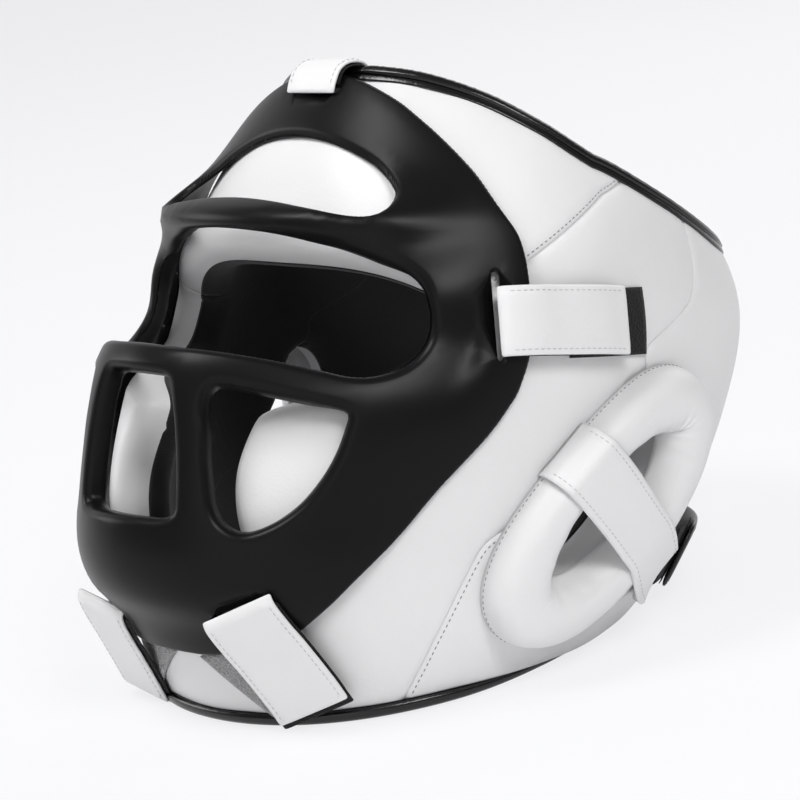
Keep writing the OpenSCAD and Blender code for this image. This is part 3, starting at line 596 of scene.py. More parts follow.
def pile_material(name, colour, height):
    """Hook or loop tape: a dense rough pile of cells under a millimetre, with painted shade that darkens
    it where the pile's bump is low.
    """
    material, tree, shader = new_material(name, colour, 0.9, sheen=0.05)
    tufts = cells(tree, 1300)
    under = link_bump(tree, shader, tufts, 0.9, height)
    link_bump(tree, shader, noise(tree, 500, 4), 0.6, height, under)
    # Painted shade: the colour falls to half where the cells' bump height is low, in the pile's hollows
    link_tint(tree, shader, tufts, shade(colour, 0.5), colour)
    return material


FINISHES = {}


def finish_of(key):
    """The finish of that name, made once from the scene's colours."""
    colours = bpy.context.scene.headguard_colours
    leather, mask = tuple(colours.leather), tuple(colours.mask)
    lining, binding = tuple(colours.lining), tuple(colours.binding)
    makers = {
        "leather": lambda: leather_material("white_leather", leather),
        "strap": lambda: leather_material("strap_leather", leather, 0.2, 0.46),
        "mask": lambda: moulding_material("black_moulding", mask),
        "lining": lambda: woven_material("black_lining", lining, 0.0013, 0.2),
        "binding": lambda: leather_material("black_piping", binding, 0.2, 0.22),
        "nape": lambda: leather_material("black_nape_leather", binding, 0.18, 0.28),
        "hook": lambda: pile_material("black_hook_tape", lining, 0.0006),
        "loop": lambda: pile_material("pale_loop_pile", shade(leather, 0.62), 0.0009),
        "dark_loop": lambda: pile_material("black_loop_pile", lining, 0.0005),
        "thread": lambda: woven_material("white_thread", shade(leather, 0.9), 0.0004, 0.4),
        # Thread of the fine seams: white thread darkened to grey, painted shade of the stitch holes
        "painted_shade_thread": lambda: woven_material("painted_shade_thread", shade(leather, 0.42), 0.0004, 0.4),
    }
    if key not in FINISHES:
        FINISHES[key] = makers[key]()
    return FINISHES[key]


# STITCHES

# One stitch: six rings along its length, with their places and their thickness
BEAD = np.array([[-1, 0.1], [-0.75, 0.75], [-0.3, 1], [0.3, 1], [0.75, 0.75], [1, 0.1]])
BEAD_ENDS = np.array([[0, 1, 2, 3], [0, 3, 4, 5], [33, 32, 31, 30], [35, 34, 33, 30]])
# Fine seams on the shell and round the ear rolls, sewn in the thread that carries painted shade
FINE_SEAM = {"material": "painted_shade_thread", "length": 1.3, "pitch": 2.3, "width": 0.5}


def stitches(name, runs, body, material="thread", length=1.7, pitch=2.4, width=0.45, side=1):
    """Rows of stitches: each is a six-sided bead with pointed ends, laid along its run at even pitch.
    A run is a line of points and the normals there."""
    points, faces, at = [], [], 0
    place, fat = BEAD.T
    turn = np.radians(np.arange(0, 360, 60) + 30)
    cell = np.vstack([grid_faces(6, 6, wrap_columns=True)[:, ::-1], BEAD_ENDS])
    for line, normals in runs:
        size = lengths(line)
        count = int(size[-1]//pitch)
        if count < 1:
            continue
        s = (np.arange(count) + 0.5)*size[-1]/count
        centre = sample(s, size, line)
        up = unit(sample(s, size, normals))
        along = unit(sample(s + 0.3, size, line) - sample(s - 0.3, size, line))
        across = np.cross(up, along)
        ring = (centre[:, None, None] + along[:, None, None]*(place*length/2)[None, :, None, None]
                + across[:, None, None]*(fat[:, None]*np.cos(turn))[None, ..., None]*width/2
                + up[:, None, None]*(fat[:, None]*np.sin(turn)*0.8)[None, ..., None]*width/2)
        faces.append((at + (np.arange(count)*36)[:, None, None] + cell).reshape(-1, 4))
        points.append(ring.reshape(-1, 3))
        at += count*36
    add_mesh(name, np.vstack(points), np.vstack(faces), finish_of(material), body, "leather",
             side=side)


# THE PADDED SHELL

NET_STEP = 4.0
NET_RINGS = [0.5, 1.2, 2.2, 3.6, 5.5, 8]
# Distances from the wall's inner side to the pad's inner face and to the lining's two faces
PAD_FOOT, LINING_TOP, LINING_LOW = 1.7, 1.65, 0.3


def pad(name, nodes, edges, side):
    """A padded panel. Its outer face is the shell's surface, rolled under at free edges, drawn in at
    seams and slightly crowned between; its inner face lies a pad's thickness deeper.
    edges gives the lines that follow each other round it, each with its kind: free, seam or bound."""
    sizes = bpy.context.scene.headguard_sizes
    roll, dip, deep = sizes.edge_roll*1000, sizes.seam_dip*1000, sizes.pad_wall*1000 - PAD_FOOT
    outline = join_lines([line for line, _ in edges])
    xy, faces, loops = tile(SHELL, outline, [], NET_STEP, [NET_RINGS])
    phi, z = xy.T
    place = skin(SHELL, phi, z)
    gap = {kind: np.full(len(xy), 99.0) for kind in ("free", "seam", "bound")}
    for line, kind in edges:
        gap[kind] = np.minimum(gap[kind], distance(place, skin(SHELL, line[:, 0], line[:, 1])))
    groove = dip*(0.78*np.exp(-gap["seam"]/1.1) + 0.22*np.exp(-gap["seam"]/6))
    edge = 1.1*np.exp(-gap["bound"]/5)
    depth = np.maximum(np.maximum(groove, edge), rounding(gap["free"], roll))
    swell = 0.25*np.sin(phi*0.23 + 1.3)*np.sin(z*0.11 + 0.7)*smooth(gap["seam"]/14)
    outer = over(SHELL, phi, z, -depth + swell)
    inner = over(SHELL, phi, z, -deep + 0.9*rounding(gap["free"], roll))
    points, tris = wall(outer, inner, faces, loops, 3)
    piece = add_mesh(name, points, tris, finish_of("leather"), "helmet", "leather", side=side)
    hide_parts(*nodes)
    return xy, faces, loops, gap


def lining(name, node, xy, faces, loops, gap, side):
    """Thin lining on the inside of a panel: it starts where the panel's rolled edge ends."""
    sizes = bpy.context.scene.headguard_sizes
    deep = sizes.pad_wall*1000
    lift = 0.9*rounding(gap["free"], sizes.edge_roll*1000)
    outer = over(SHELL, xy[:, 0], xy[:, 1], -deep + LINING_TOP + lift)
    inner = over(SHELL, xy[:, 0], xy[:, 1], -deep + LINING_LOW + lift*0.98)
    points, tris = wall(outer, inner, faces, loops, 1)
    piece = add_mesh(name, points, tris, finish_of("lining"), "helmet", "lining", side=side)
    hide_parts(node)


def panel(name, edges, side=1):
    """A padded panel with the lining inside it."""
    made = pad(name + "_pad", [name + "_cover", name + "_foam"], edges, side)
    lining(name + "_inside", name + "_lining", *made, side)


def swap(table):
    """A table of height and direction as direction and height."""
    return np.asarray(table, float)[:, ::-1]


def base_line(a, b):
    """The shell's lower edge between two directions."""
    phi = np.linspace(a, b, 36)
    return even(np.stack([phi, base_z(phi, EDGE_LOW - edge_drop(phi))], -1), 2.5)


def rim_line(a, b):
    """The shell's upper edge between two directions."""
    phi = np.linspace(a, b, 48)
    return even(np.stack([phi, rim_z(phi) - RIM_INSET], -1), 2.5)


def upright(phi, low, high):
    """A straight seam at one direction between two heights."""
    return np.stack([np.full(12, phi), np.linspace(low, high, 12)], -1)


def join_lines(lines):
    """One closed outline from lines that follow each other, each without its last point."""
    return np.vstack([line[:-1] for line in lines])


def panel_lines():
    """The edges that the panels share, each worked out once."""
    t = np.linspace(-1, 1, 41)
    brow_z = BROW_Z + (TEMPLE_FOOT_Z - BROW_Z)*np.abs(t)**3
    jaw_z, nape_z = (float(base_z(phi, EDGE_LOW - edge_drop(phi))) for phi in (JAW_SEAM, 180.0))
    chin_z = float(base_z(CHIN_SEAM))
    temple_z = np.linspace(TEMPLE_FOOT_Z, rim_end(TEMPLE_TOP), 20)
    jaw = [[JAW_SEAM, jaw_z], [58.7, (jaw_z + LOW_SEAM[0, 0])/2]]
    chin = [[CHIN_SEAM, z] for z in (chin_z, (chin_z + CHIN_TOP_Z)/2, CHIN_TOP_Z)]
    chin_top = np.stack([np.linspace(-CHIN_SEAM, CHIN_SEAM, 12), np.full(12, CHIN_TOP_Z)], -1)
    return {
        "brow": even(np.stack([TEMPLE_FOOT*t, brow_z], -1), 2.0),
        "temple": even(np.stack([seam_phi(temple_z), temple_z], -1), 2.5),
        "rim_front": rim_line(TEMPLE_TOP, -TEMPLE_TOP),
        "rim_side": rim_line(REAR_TOP, TEMPLE_TOP),
        "rim_back": rim_line(180.0, REAR_TOP),
        "front": even(swap(SIDE_FRONT), 2.0),
        "chin_seam": even(chin, 2.5),
        "low": even(np.vstack([jaw, swap(LOW_SEAM)]), 2.5),
        "hole_front": even(swap(HOLE_FRONT), 2.5),
        "hole_rear": even(swap(HOLE_REAR), 2.5),
        "high": even(np.vstack([swap(HIGH_SEAM), [REAR_TOP, rim_end(REAR_TOP)]]), 2.5),
        "base_side": base_line(CHIN_SEAM, JAW_SEAM),
        "base_back": base_line(JAW_SEAM, 180.0),
        "base_chin": base_line(-CHIN_SEAM, CHIN_SEAM),
        "chin_top": even(chin_top, 2.5),
        "nape": even(upright(180.0, nape_z, rim_end(180.0)), 3.0),
    }


def shell_panels():
    """The six panels with their linings and the stitching beside their seams: forehead, chin, and a
    side and a rear one on each hand."""
    lines = panel_lines()
    back = {name: line[::-1] for name, line in lines.items()}
    panel("forehead", [(lines["brow"], "free"), (lines["temple"], "seam"),
                       (lines["rim_front"], "bound"), (mirrored(lines["temple"]), "seam")])
    panel("chin", [(lines["base_chin"], "bound"), (lines["chin_seam"], "seam"),
                   (back["chin_top"], "free"), (mirrored(lines["chin_seam"]), "seam")])
    side = [(lines["base_side"], "bound"), (lines["low"], "seam"), (lines["hole_front"], "free"),
            (lines["high"], "seam"), (lines["rim_side"], "bound"), (back["temple"], "seam"),
            (back["front"], "free"), (back["chin_seam"], "seam")]
    rear = [(lines["base_back"], "bound"), (lines["nape"], "seam"), (lines["rim_back"], "bound"),
            (back["high"], "seam"), (back["hole_rear"], "free"), (back["low"], "seam")]
    # The right cheek pad's front edge lies up to 5 degrees further back
    phi, z = lines["front"].T
    far_front = np.stack([phi + 5*np.exp(-((z + 18)/20)**2)*smooth((z + 52)/12), z], -1)
    sunk = -0.36*bpy.context.scene.headguard_sizes.seam_dip*1000
    for hand, sign in HANDS:
        if sign < 0:
            side[6] = (far_front[::-1], "free")
        panel(hand + "_side", side, sign)
        panel(hand + "_rear", rear, sign)
        runs = []
        for name, d in (("temple", 1.5), ("low", -1.5)):
            phi, z = offset(SHELL, lines[name], d, closed=False)[1:-1].T
            runs.append((over(SHELL, phi, z, np.full(len(phi), sunk)), outward(SHELL, phi, z)))
        stitches(hand + "_shell_stitches", runs, "helmet", **FINE_SEAM, side=sign)


# BINDINGS

ALL_ROUND = np.linspace(-180, 180, 360, endpoint=False)
# How much broader a binding is than the wall that it holds
BINDING_OVER = 1.6
# Share of its height that the upper binding loses under the top strap
PRESSED = 0.34


def swept(name, loops, node=None):
    """Closed solid through a ring of section loops."""
    faces = grid_faces(*loops.shape[:2], True, True)
    piece = add_mesh(name, loops, faces, finish_of("binding"), "helmet", "binding")
    if node:
        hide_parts(node)


def binding_section(width, height):
    """A strip folded over an edge: a superellipse of that width and height above a flat foot."""
    t = np.linspace(0, np.pi, 34)
    a, b = signed_power(np.cos(t), 0.32), np.abs(np.sin(t))**0.55
    foot = np.linspace(-1, 1, 9)[1:-1]
    return np.concatenate([a*width/2, foot*width/2]), np.concatenate([b*height, foot*0])


def rim_binding():
    """The folded strip on the upper edge: its section stands on the wall's edge, square to the rim's
    run, and a narrow band is sewn round outside its foot."""
    deep = bpy.context.scene.headguard_sizes.pad_wall*1000
    phi = ALL_ROUND
    z = rim_z(phi) - RIM_INSET
    place, n = skin(SHELL, phi, z), outward(SHELL, phi, z)
    ahead, behind = (skin(SHELL, phi + d, rim_z(phi + d)) for d in (1.5, -1.5))
    up = unit(np.cross(n, unit(ahead - behind)))
    a, b = binding_section(deep + BINDING_OVER, BINDING_H)
    pucker = 1 + 0.02*np.sin(np.radians(phi)*150) + 0.015*np.sin(np.radians(phi)*97 + 1)
    pressed = 1 - PRESSED*smooth((18 - np.abs(place[:, 0]))/5)*(np.abs(phi) < 90)
    seam = 1 - 0.12*np.exp(-((a - 8.2)/0.7)**2)
    high = LAYER_GAP + b*seam*(pucker*pressed)[:, None]
    loops = (place - n*deep/2)[:, None] + n[:, None]*a[:, None] + up[:, None]*high[..., None]
    swept("rim_piping", loops[:, ::-1], "rim_binding")
    turn = np.linspace(0, 2*np.pi, 16, endpoint=False)
    away, rise = 0.55*signed_power(np.cos(turn), 0.6), 1.35*signed_power(np.sin(turn), 0.6)
    edge = over(SHELL, phi, z, np.full(len(phi), -0.35))
    band = edge[:, None] + n[:, None]*away[:, None] + up[:, None]*(rise - 1.25)[:, None]
    swept("rim_band", band[:, ::-1])


def base_binding():
    """The folded strip on the lower edge: it follows the wall above, ends in the base plane, and is
    tucked under the padding towards the back."""
    deep = bpy.context.scene.headguard_sizes.pad_wall*1000
    phi = ALL_ROUND
    drop = edge_drop(phi)
    z = base_z(phi, EDGE_LOW - drop)
    n = outward(SHELL, phi, z)
    down = np.array([0, math.sin(PITCH), -math.cos(PITCH)])
    flat = unit(n - (n @ down)[:, None]*down)
    slant = (n @ down)/(n*flat).sum(1)
    a, b = binding_section(1.0, 1.0)
    tuck = 5.0*smooth((np.abs(phi) - 66)/40)
    width = deep*(n*flat).sum(1) + BINDING_OVER - tuck
    across = BINDING_OVER/2 - tuck[:, None] + (a - 0.5)*width[:, None]
    foot = 0.4 + slant[:, None]*across
    high = foot + (BINDING_H + LAYER_GAP - drop[:, None] - foot)*b
    loops = skin(SHELL, phi, z)[:, None] + flat[:, None]*across[..., None] + down*high[..., None]
    swept("base_piping", loops, "base_binding")


# FACE MASK

MASK_THIN, RAIL_EXTRA = 3.2, 5.3
EDGE_STEP, WINDOW_STEP, MASK_STEP = 2.2, 1.8, 3.2
MARGIN_TOP_Z = 128.7
# Roundings: margin, eye, brow, mouth and cheek windows, slots
MARGIN_ROUND, WINDOW_ROUNDS, SLOT_ROUND = 2.0, [4.4, 3.2, 3.6, 4.0], 0.9
# Slots: place as direction and height, half-length, half-width
SLOTS = {"top": ((0, 122.2), 13.8, 1.8), "side": ((62.9, 41.0), 17.0, 1.7),
         "chin": ((27.0, -64.8), 13.4, 1.6), "far_chin": ((21.9, -71.2), 13.4, 1.6)}


def mask_wall(phi, z):
    """Wall of the mask: thin at the margin, thick at rails and bars."""
    rails = smooth((50 - np.abs(phi))/14)*smooth((z + 78)/18)*smooth((82 - z)/12)
    return MASK_THIN + RAIL_EXTRA*rails


def slot_outline(kind):
    """Stadium round a slot's place, long way across its strap, found back as phi and z by a few steps
    along the surface's slopes."""
    centre, half_length, half_width = SLOTS[kind]
    along = np.array([1.0, 0, 0]) if kind == "top" else strap_frame(kind)["across"]
    t = np.linspace(0, 2*np.pi, 40, endpoint=False)
    n = outward(MASK, *centre)
    long = unit(along - (along @ n)*n)
    short = np.cross(n, long)
    c, s = np.cos(t), np.sin(t)
    u = np.sign(c)*(half_length - half_width) + half_width*c
    target = skin(MASK, *centre) + u[:, None]*long + (half_width*s)[:, None]*short
    place = np.tile(np.array(centre, float), (len(t), 1))
    for _ in range(6):
        place = place + surface_step(MASK, place, target - skin(MASK, place[:, 0], place[:, 1]))
    return place


def turned_left(loop):
    """The loop run so that the region inside it lies to its left."""
    x, y = loop[:, 0], loop[:, 1]
    area = (x*np.roll(y, -1) - np.roll(x, -1)*y).sum()
    return loop if area > 0 else loop[::-1]


def face_mask():
    """The moulding: one wall between its outer face and an inner face, with rounded windows and slots."""
    half = even(MASK_EDGE[1:-1][:, ::-1], EDGE_STEP)
    (low, low_z), (high, high_z) = half[0], half[-1]
    bottom = even([[-low, low_z], [0, low_z], [low, low_z]], EDGE_STEP)
    top = even([[high, high_z], [0, MARGIN_TOP_Z], [-high, high_z]], EDGE_STEP)
    outline = join_lines([bottom, half, top, mirrored(half)])
    windows = [even(c, WINDOW_STEP, True) for c in (*map(both_halves, (EYE, BROW, MOUTH)), CHEEK)]
    top_slot, side_slot, chin_slot, far_slot = (slot_outline(kind) for kind in SLOTS)
    loops = windows + [top_slot, side_slot, chin_slot, mirrored(far_slot),
                       mirrored(windows[3]), mirrored(side_slot)]
    radii = WINDOW_ROUNDS + [SLOT_ROUND]*4 + [WINDOW_ROUNDS[3], SLOT_ROUND]
    holes = [turned_left(loop)[::-1] for loop in loops]
    rings = [r*ROUND_STEPS for r in [MARGIN_ROUND] + radii]
    xy, faces, index = tile(MASK, outline, holes, MASK_STEP, rings)
    phi, z = xy.T
    place, n = skin(MASK, phi, z), outward(MASK, phi, z)
    depth, under = np.zeros(len(xy)), np.zeros(len(xy))
    for loop, r in zip([outline] + holes, [MARGIN_ROUND] + radii):
        d = distance(place, closed_run(MASK, loop))
        depth = np.maximum(depth, rounding(d, r))
        under = np.maximum(under, rounding(d, min(r*0.5, 1.2)))
    outer = place - n*depth[:, None]
    inner = place - n*(mask_wall(phi, z) - under)[:, None]
    points, tris = wall(outer, inner, faces, index, 3)
    piece = add_mesh("face_mask_moulding", points, tris, finish_of("mask"), "helmet", "mask")
    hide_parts("face_mask")


# STRAPS

PATCH_H = 1.4
# Height of a strap's end over the shell: gap, patch, gap, tape and half the leather
SEAT_LIFT = LAYER_GAP + PATCH_H + 0.2 + 1.2 + 1.0
# Sewing: in from the edges, and out from the middle layer
SEWN_IN, SEWN_OUT = 2.0, 0.8
# Straps: slot and end as direction and height; how much wider than the top strap, how much the tape
# shows at the sides and past the end; height over the chord at shares of its length
STRAPS = {
    "side": {"slot": (62.9, 38.6), "end": (88.0, 36.8), "wide": -1.6, "spread": 0.3, "show": -0.8,
             "lift": [[0, 0.6], [0.05, 2.8], [0.25, 4.8], [0.45, 4.4], [0.65, 4.1], [0.8, 3.2],
                      [1, 0.7], [1.2, 0.3]]},
    "chin": {"slot": (26.6, -62.6), "end": (34.6, -102), "wide": 2.6, "spread": 0.8, "show": 3.0,
             "lift": [[0, 0.8], [0.06, 2.6], [0.25, 2.6], [0.45, 1.5], [0.7, 0.8], [0.88, 0.7],
                      [1, 1.2], [1.2, 1.2]]},
    "far_chin": {"slot": (21.4, -69.0), "end": (28.4, -107.2), "facing": (0.1, -0.79, -0.6),
                 "wide": 1.0, "spread": 3.4, "show": 2.0,
                 "lift": [[0, 1.2], [0.06, 3.6], [0.25, 3.8], [0.45, 3.2], [0.7, 2.6], [0.88, 2.2],
                          [1, 2], [1.2, 2]]},
}
# Loop patches on the shell, as corners of direction and height
SIDE_PATCH = [(77, 24.5), (92.5, 24), (92, 48.5), (76, 49)]
CHIN_PATCH = [(23, -108), (41, -97), (28, -78), (4, -87)]


def strap_frame(kind):
    """Axes of a flat strap: from its slot to its end, out from the shell, and across."""
    s = STRAPS[kind]
    start = skin(MASK, *s["slot"])
    end = over(SHELL, *s["end"], SEAT_LIFT)
    n = outward(MASK, *s["slot"]) + outward(SHELL, *s["end"])
    if "facing" in s:
        n = np.array(s["facing"])
    along = unit(end - start)
    out = unit(n - (n @ along)*along)
    return {"start": start, "length": float(np.linalg.norm(end - start)), "along": along, "out": out,
            "across": np.cross(along, out)}


def ribbon(name, node, path, width, thick, material, body, slot, corner=0.7, crown=0.1, groove=None,
           side=1):
    """A flat strap: a rounded strip of that width and thickness carried along its path, which is its
    centre line with the directions across and up there. Its corners are rounded by narrowing its
    ends, and groove sinks its face along the sewing line."""
    centre, across, up = path
    size = lengths(centre)
    half, fold = np.full(len(centre), width/2), np.ones(len(centre))
    for s in (size, size[-1] - size):
        e = np.clip(corner - s, 0, corner)
        half -= corner - np.sqrt(np.maximum(corner**2 - e**2, 0))
        fold *= 0.45 + 0.55*smooth((s + 0.15)/(thick*0.7))
    a = np.linspace(-1, 1, 41)
    face = thick/2*(0.35 + 0.65*(1 - np.abs(a)**10))
    upper = face*(1 + crown*(1 - a*a))
    if groove is not None:
        upper = upper - 0.16*np.exp(-((np.abs(a)*width/2 - (width/2 - groove))/0.6)**2)
    a_all, b_all = np.concatenate([a, a[::-1]]), np.concatenate([upper, -face])
    points = (centre[:, None] + across[:, None]*(a_all*half[:, None])[..., None]
              + up[:, None]*(b_all*fold[:, None])[..., None])
    n, m = points.shape[:2]
    j = np.arange(len(a) - 1)
    first = np.stack([j, m - 1 - j, m - 2 - j, j + 1], -1)
    faces = np.vstack([grid_faces(n, m, False, True), first, (n - 1)*m + first[:, ::-1]])
    uv = np.stack(np.broadcast_arrays(a_all*width/2, size[:, None]), -1)/1000
    piece = add_mesh(name, points, faces, finish_of(material), body, slot, uv, side)
    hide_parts(node)


def fine_ends(length, count, first=0.0):
    """Places along a strap, closer together at both ends."""
    core = np.linspace(first + 2.2, length - 2.2, count)
    tip = np.array([0, 0.2, 0.5, 0.9, 1.4])
    return np.concatenate([first + tip, core, length - tip[::-1]])


def sewing(path, s, length, width):
    """Stitch runs of a strap: along both its edges and across its end."""
    centre, across, up = path
    inset = width/2 - SEWN_IN
    keep = (s > 3) & (s < length - 1.8)
    runs = [(centre[keep] + across[keep]*w + up[keep]*SEWN_OUT, up[keep]) for w in (-inset, inset)]
    k = int(np.argmin(np.abs(s - (length - SEWN_IN))))
    end = np.linspace(-inset, inset, 12)[:, None]
    runs.append((centre[k] + across[k]*end + up[k]*SEWN_OUT, np.tile(up[k], (12, 1))))
    return runs


def side_or_chin_strap(kind, hand, sign):
    """A mask strap: white leather from its slot, with the hook tape under it showing past its end."""
    key = "far_chin" if kind == "chin" and sign < 0 else kind
    shape, f = STRAPS[key], strap_frame(key)
    length = f["length"]
    width = bpy.context.scene.headguard_sizes.strap_width*1000 + shape["wide"]
    stem = f"{hand}_{kind}"
    body = stem + "_strap"

    def layer(s, drop):
        """The strap's path at lengths s along its chord, lowered by drop."""
        h = section(np.array(shape["lift"], float), s/length)[..., 1] - drop
        centre = f["start"] + s[:, None]*f["along"] + h[:, None]*f["out"]
        across = np.tile(f["across"], (len(s), 1))
        return centre, across, np.cross(across, unit(np.gradient(centre, s, axis=0)))

    s = fine_ends(length, 40)
    path = layer(s, 0.0)
    ribbon(body + "_leather", stem + "_tab", path, width, 2.0, "strap", body, "leather",
           groove=SEWN_IN, side=sign)
    lower = layer(fine_ends(length + shape["show"], 40, length*0.08), 1.68)
    ribbon(body + "_tape", stem + "_hook", lower, width + shape["spread"], 1.05, "hook", body, "hook",
           crown=0.0, side=sign)
    stitches(body + "_stitches", sewing(path, s, length, width), body, side=sign)


def top_strap():
    """The strap over the rim: its path climbs the mask's face, turns over the binding and lies on it."""
    p = np.array(top_path())
    line = spline(p[0], p, p[-1], 121)
    size = lengths(line)
    length = size[-1]
    width = bpy.context.scene.headguard_sizes.strap_width*1000

    def layer(first, last, drop):
        """Lengths from first to last, and the strap's path there, moved off by drop. Past its end the
        path is carried on straight."""
        s = fine_ends(last, 50, first)
        beyond = np.clip(s - length, 0, None)[:, None]
        yz = sample(s, size, line) + unit(line[-1] - line[-4])*beyond
        tangent = unit(np.gradient(yz, s, axis=0))
        normal = np.stack([-tangent[:, 1], tangent[:, 0]], -1)
        flat = np.zeros(len(s))
        centre, up = (np.column_stack([flat, v]) for v in (yz + normal*drop, normal))
        return s, (centre, np.tile([-1.0, 0, 0], (len(s), 1)), up)

    s, path = layer(0.0, length, 0.0)
    ribbon("top_strap_leather", "top_tab", path, width, 1.8, "strap", "top_strap", "leather",
           groove=SEWN_IN)
    stitches("top_strap_stitches", sewing(path, s, length, width), "top_strap")
    s, path = layer(length*0.12, length + 2.0, -1.4)
    ribbon("top_strap_tape", "top_hook", path, width + 1.2, 0.9, "hook", "top_strap", "hook",
           crown=0.0)


def top_path():
    """Points of the top strap's middle layer in the middle plane, as depth and height."""
    rim, n = skin(SHELL, 0.0, 127.0), outward(SHELL, 0.0, 127.0)
    up = unit(np.cross(n, [1.0, 0, 0]))
    over_tab = 1.0 + 0.9 + LAYER_GAP
    squeezed = BINDING_H*(1 - PRESSED)
    top = squeezed + LAYER_GAP + over_tab
    points = [over(MASK, 0.0, z, off) for z, off in
              ((119.5, 0.6), (122.8, over_tab - 0.3), (127.6, over_tab + 0.2))]
    points += [rim + n*away + up*high for away, high in
               ((0.8 + over_tab + 1.0, squeezed - 0.6), (-1.0, top + 0.2), (-6, top + 0.3),
                (-13, top + 0.3))]
    return [p[1:] for p in points]


def patch(name, node, corners, off, thick, material, slot, side=1, body="helmet"):
    """A flat patch on the shell between four corners of phi and z, blended both ways."""
    a, b, c, d = np.array(corners, float)
    t = np.linspace(0, 1, 25)
    u, v = t[None, :, None], t[:, None, None]
    xy = (a*(1 - u) + b*u)*(1 - v) + (d*(1 - u) + c*u)*v
    edge = np.minimum(t, 1 - t)
    high = thick*(0.55 + 0.45*smooth(np.minimum(edge, edge[:, None])/0.04))
    outer = over(SHELL, xy[..., 0], xy[..., 1], off + high)
    inner = over(SHELL, xy[..., 0], xy[..., 1], np.full(high.shape, off))
    piece = add_mesh(name, *slab(outer, inner), finish_of(material), body, slot, side=side)
    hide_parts(node)


# EARS

EAR_Y, EAR_Z = 7.4, -30.9
RING_LONG, RING_SHORT, ROLL_SIDE, ROLL_END, ROLL_H = 48.0, 22.2, 9.0, 13.2, 14.5
RING_TILT = math.radians(46)
# The band over the ear: half-width, rows and stitched columns of its grid
BAND_HALF, BAND_ROWS, BAND_SEWN = 12.5, 140, (2, 18)


def ear_point(a, b):
    """Depth and height of a point given along and across the tilted ear ring."""
    c, s = math.cos(RING_TILT), math.sin(RING_TILT)
    return EAR_Y + a*c + b*s, EAR_Z + a*s - b*c


def ear_ring(hand, sign):
    """The padded roll round the ear: a round-topped section carried along an ellipse on the shell."""
    t = np.linspace(0, 2*np.pi, 200, endpoint=False)[::-1]
    a, b = RING_LONG*np.cos(t), RING_SHORT*np.sin(t)
    d = unit(np.stack([RING_SHORT*np.cos(t), RING_LONG*np.sin(t)], -1))
    w = ROLL_SIDE + (ROLL_END - ROLL_SIDE)*np.cos(t)**2
    turn = np.linspace(0, np.pi, 26)
    x = np.concatenate([signed_power(np.cos(turn), 0.85), np.linspace(-1, 1, 8)[1:-1]])
    y = np.concatenate([np.sin(turn)**0.9, np.zeros(6)])
    p, q = ear_point(a[:, None] + d[:, :1]*x*w[:, None], b[:, None] + d[:, 1:]*x*w[:, None])
    upper = np.exp(-(np.minimum(t, 2*np.pi - t)/0.7)**2)
    pull = (0.3*np.sin(t*23) + 0.7*upper*np.sin(t*31 + 1))[:, None]*np.maximum(-x, 0)
    loops = flank(p, q, 0.4 + y*(ROLL_H + pull))
    faces = grid_faces(*loops.shape[:2], True, True)
    piece = add_mesh(hand + "_ear_roll", loops, faces, finish_of("leather"), "helmet", "leather",
                     side=sign)
    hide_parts(hand + "_ear_ring")
    foot, above = (np.vstack([loops[:, k], loops[:1, k]]) for k in (1, 8))
    n = unit(foot - above)
    stitches(hand + "_ear_roll_stitches", [(foot + n*0.05, n)], "helmet", **FINE_SEAM, side=sign)


def ear_strap(hand, sign):
    """The strap over the ear: it climbs the roll's front side, crosses the opening and runs back to
    the nape."""
    high = ROLL_H + 0.8
    start = RING_SHORT + ROLL_SIDE
    points = [(*ear_point(0, b), h) for b, h in
              [(-start - 1.2, 0.5), (-start - 0.9, 0.55*high), (-RING_SHORT - 5.5, 0.93*high),
               (-RING_SHORT, high), (-8, high), (8, high), (RING_SHORT - 3, high)]]
    points += [(28.5, -54.5, 0.8*high + 1), (33, -56.5, 0.42*high), (38, -57.5, 1.3), (45, -57.5, 0.6),
               (52, -57, 0.5), (58, -56.5, 0.5)]
    p = np.array(points, float)
    line = spline(2*p[0] - p[1], p, 2*p[-1] - p[-2], BAND_ROWS)
    along = np.gradient(line[:, :2], axis=0)
    first = np.array([math.sin(RING_TILT), -math.cos(RING_TILT)])
    along = unit(along + (np.arange(BAND_ROWS)[:, None] < 30)*first*3)
    w = np.linspace(-BAND_HALF, BAND_HALF, 21)
    y, z = line[:, :1] - along[:, 1:]*w, line[:, 1:2] + along[:, :1]*w
    edge = smooth((BAND_HALF - np.abs(w))/0.8)
    groove = 0.25*np.exp(-((np.abs(w) - 9.8)/0.7)**2)
    outer = flank(y, z, line[:, 2:] + 1.0 + edge*1.0 - groove)
    inner = flank(y, z, line[:, 2:] + 0.35*(1 - edge))
    piece = add_mesh(hand + "_ear_band", *slab(outer, inner), finish_of("strap"), "helmet", "leather",
                     side=sign)
    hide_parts(hand + "_ear_strap")
    runs = []
    for k in BAND_SEWN:
        row, before, after = (outer[8:118, c] for c in (k, k - 1, k + 1))
        runs.append((row, unit(np.cross(np.gradient(row, axis=0), after - before))*-1))
    stitches(hand + "_ear_band_stitches", runs, "helmet", side=sign)


# NAPE

# The nape strap runs from its free end at the left to its sewn end at the right
NAPE_FREE, NAPE_SEWN = 125, 239
NAPE_WIDTH, NAPE_SEWING, NAPE_TAPE = 27.0, 11, (126, 136)
NAPE_PATCH = [(119, -67), (128, -67), (128, -46), (119, -46)]


def nape_z(phi):
    """Height of the nape strap's middle line."""
    return -58.5 + 6*(1 - ((phi - 180)/63)**2)


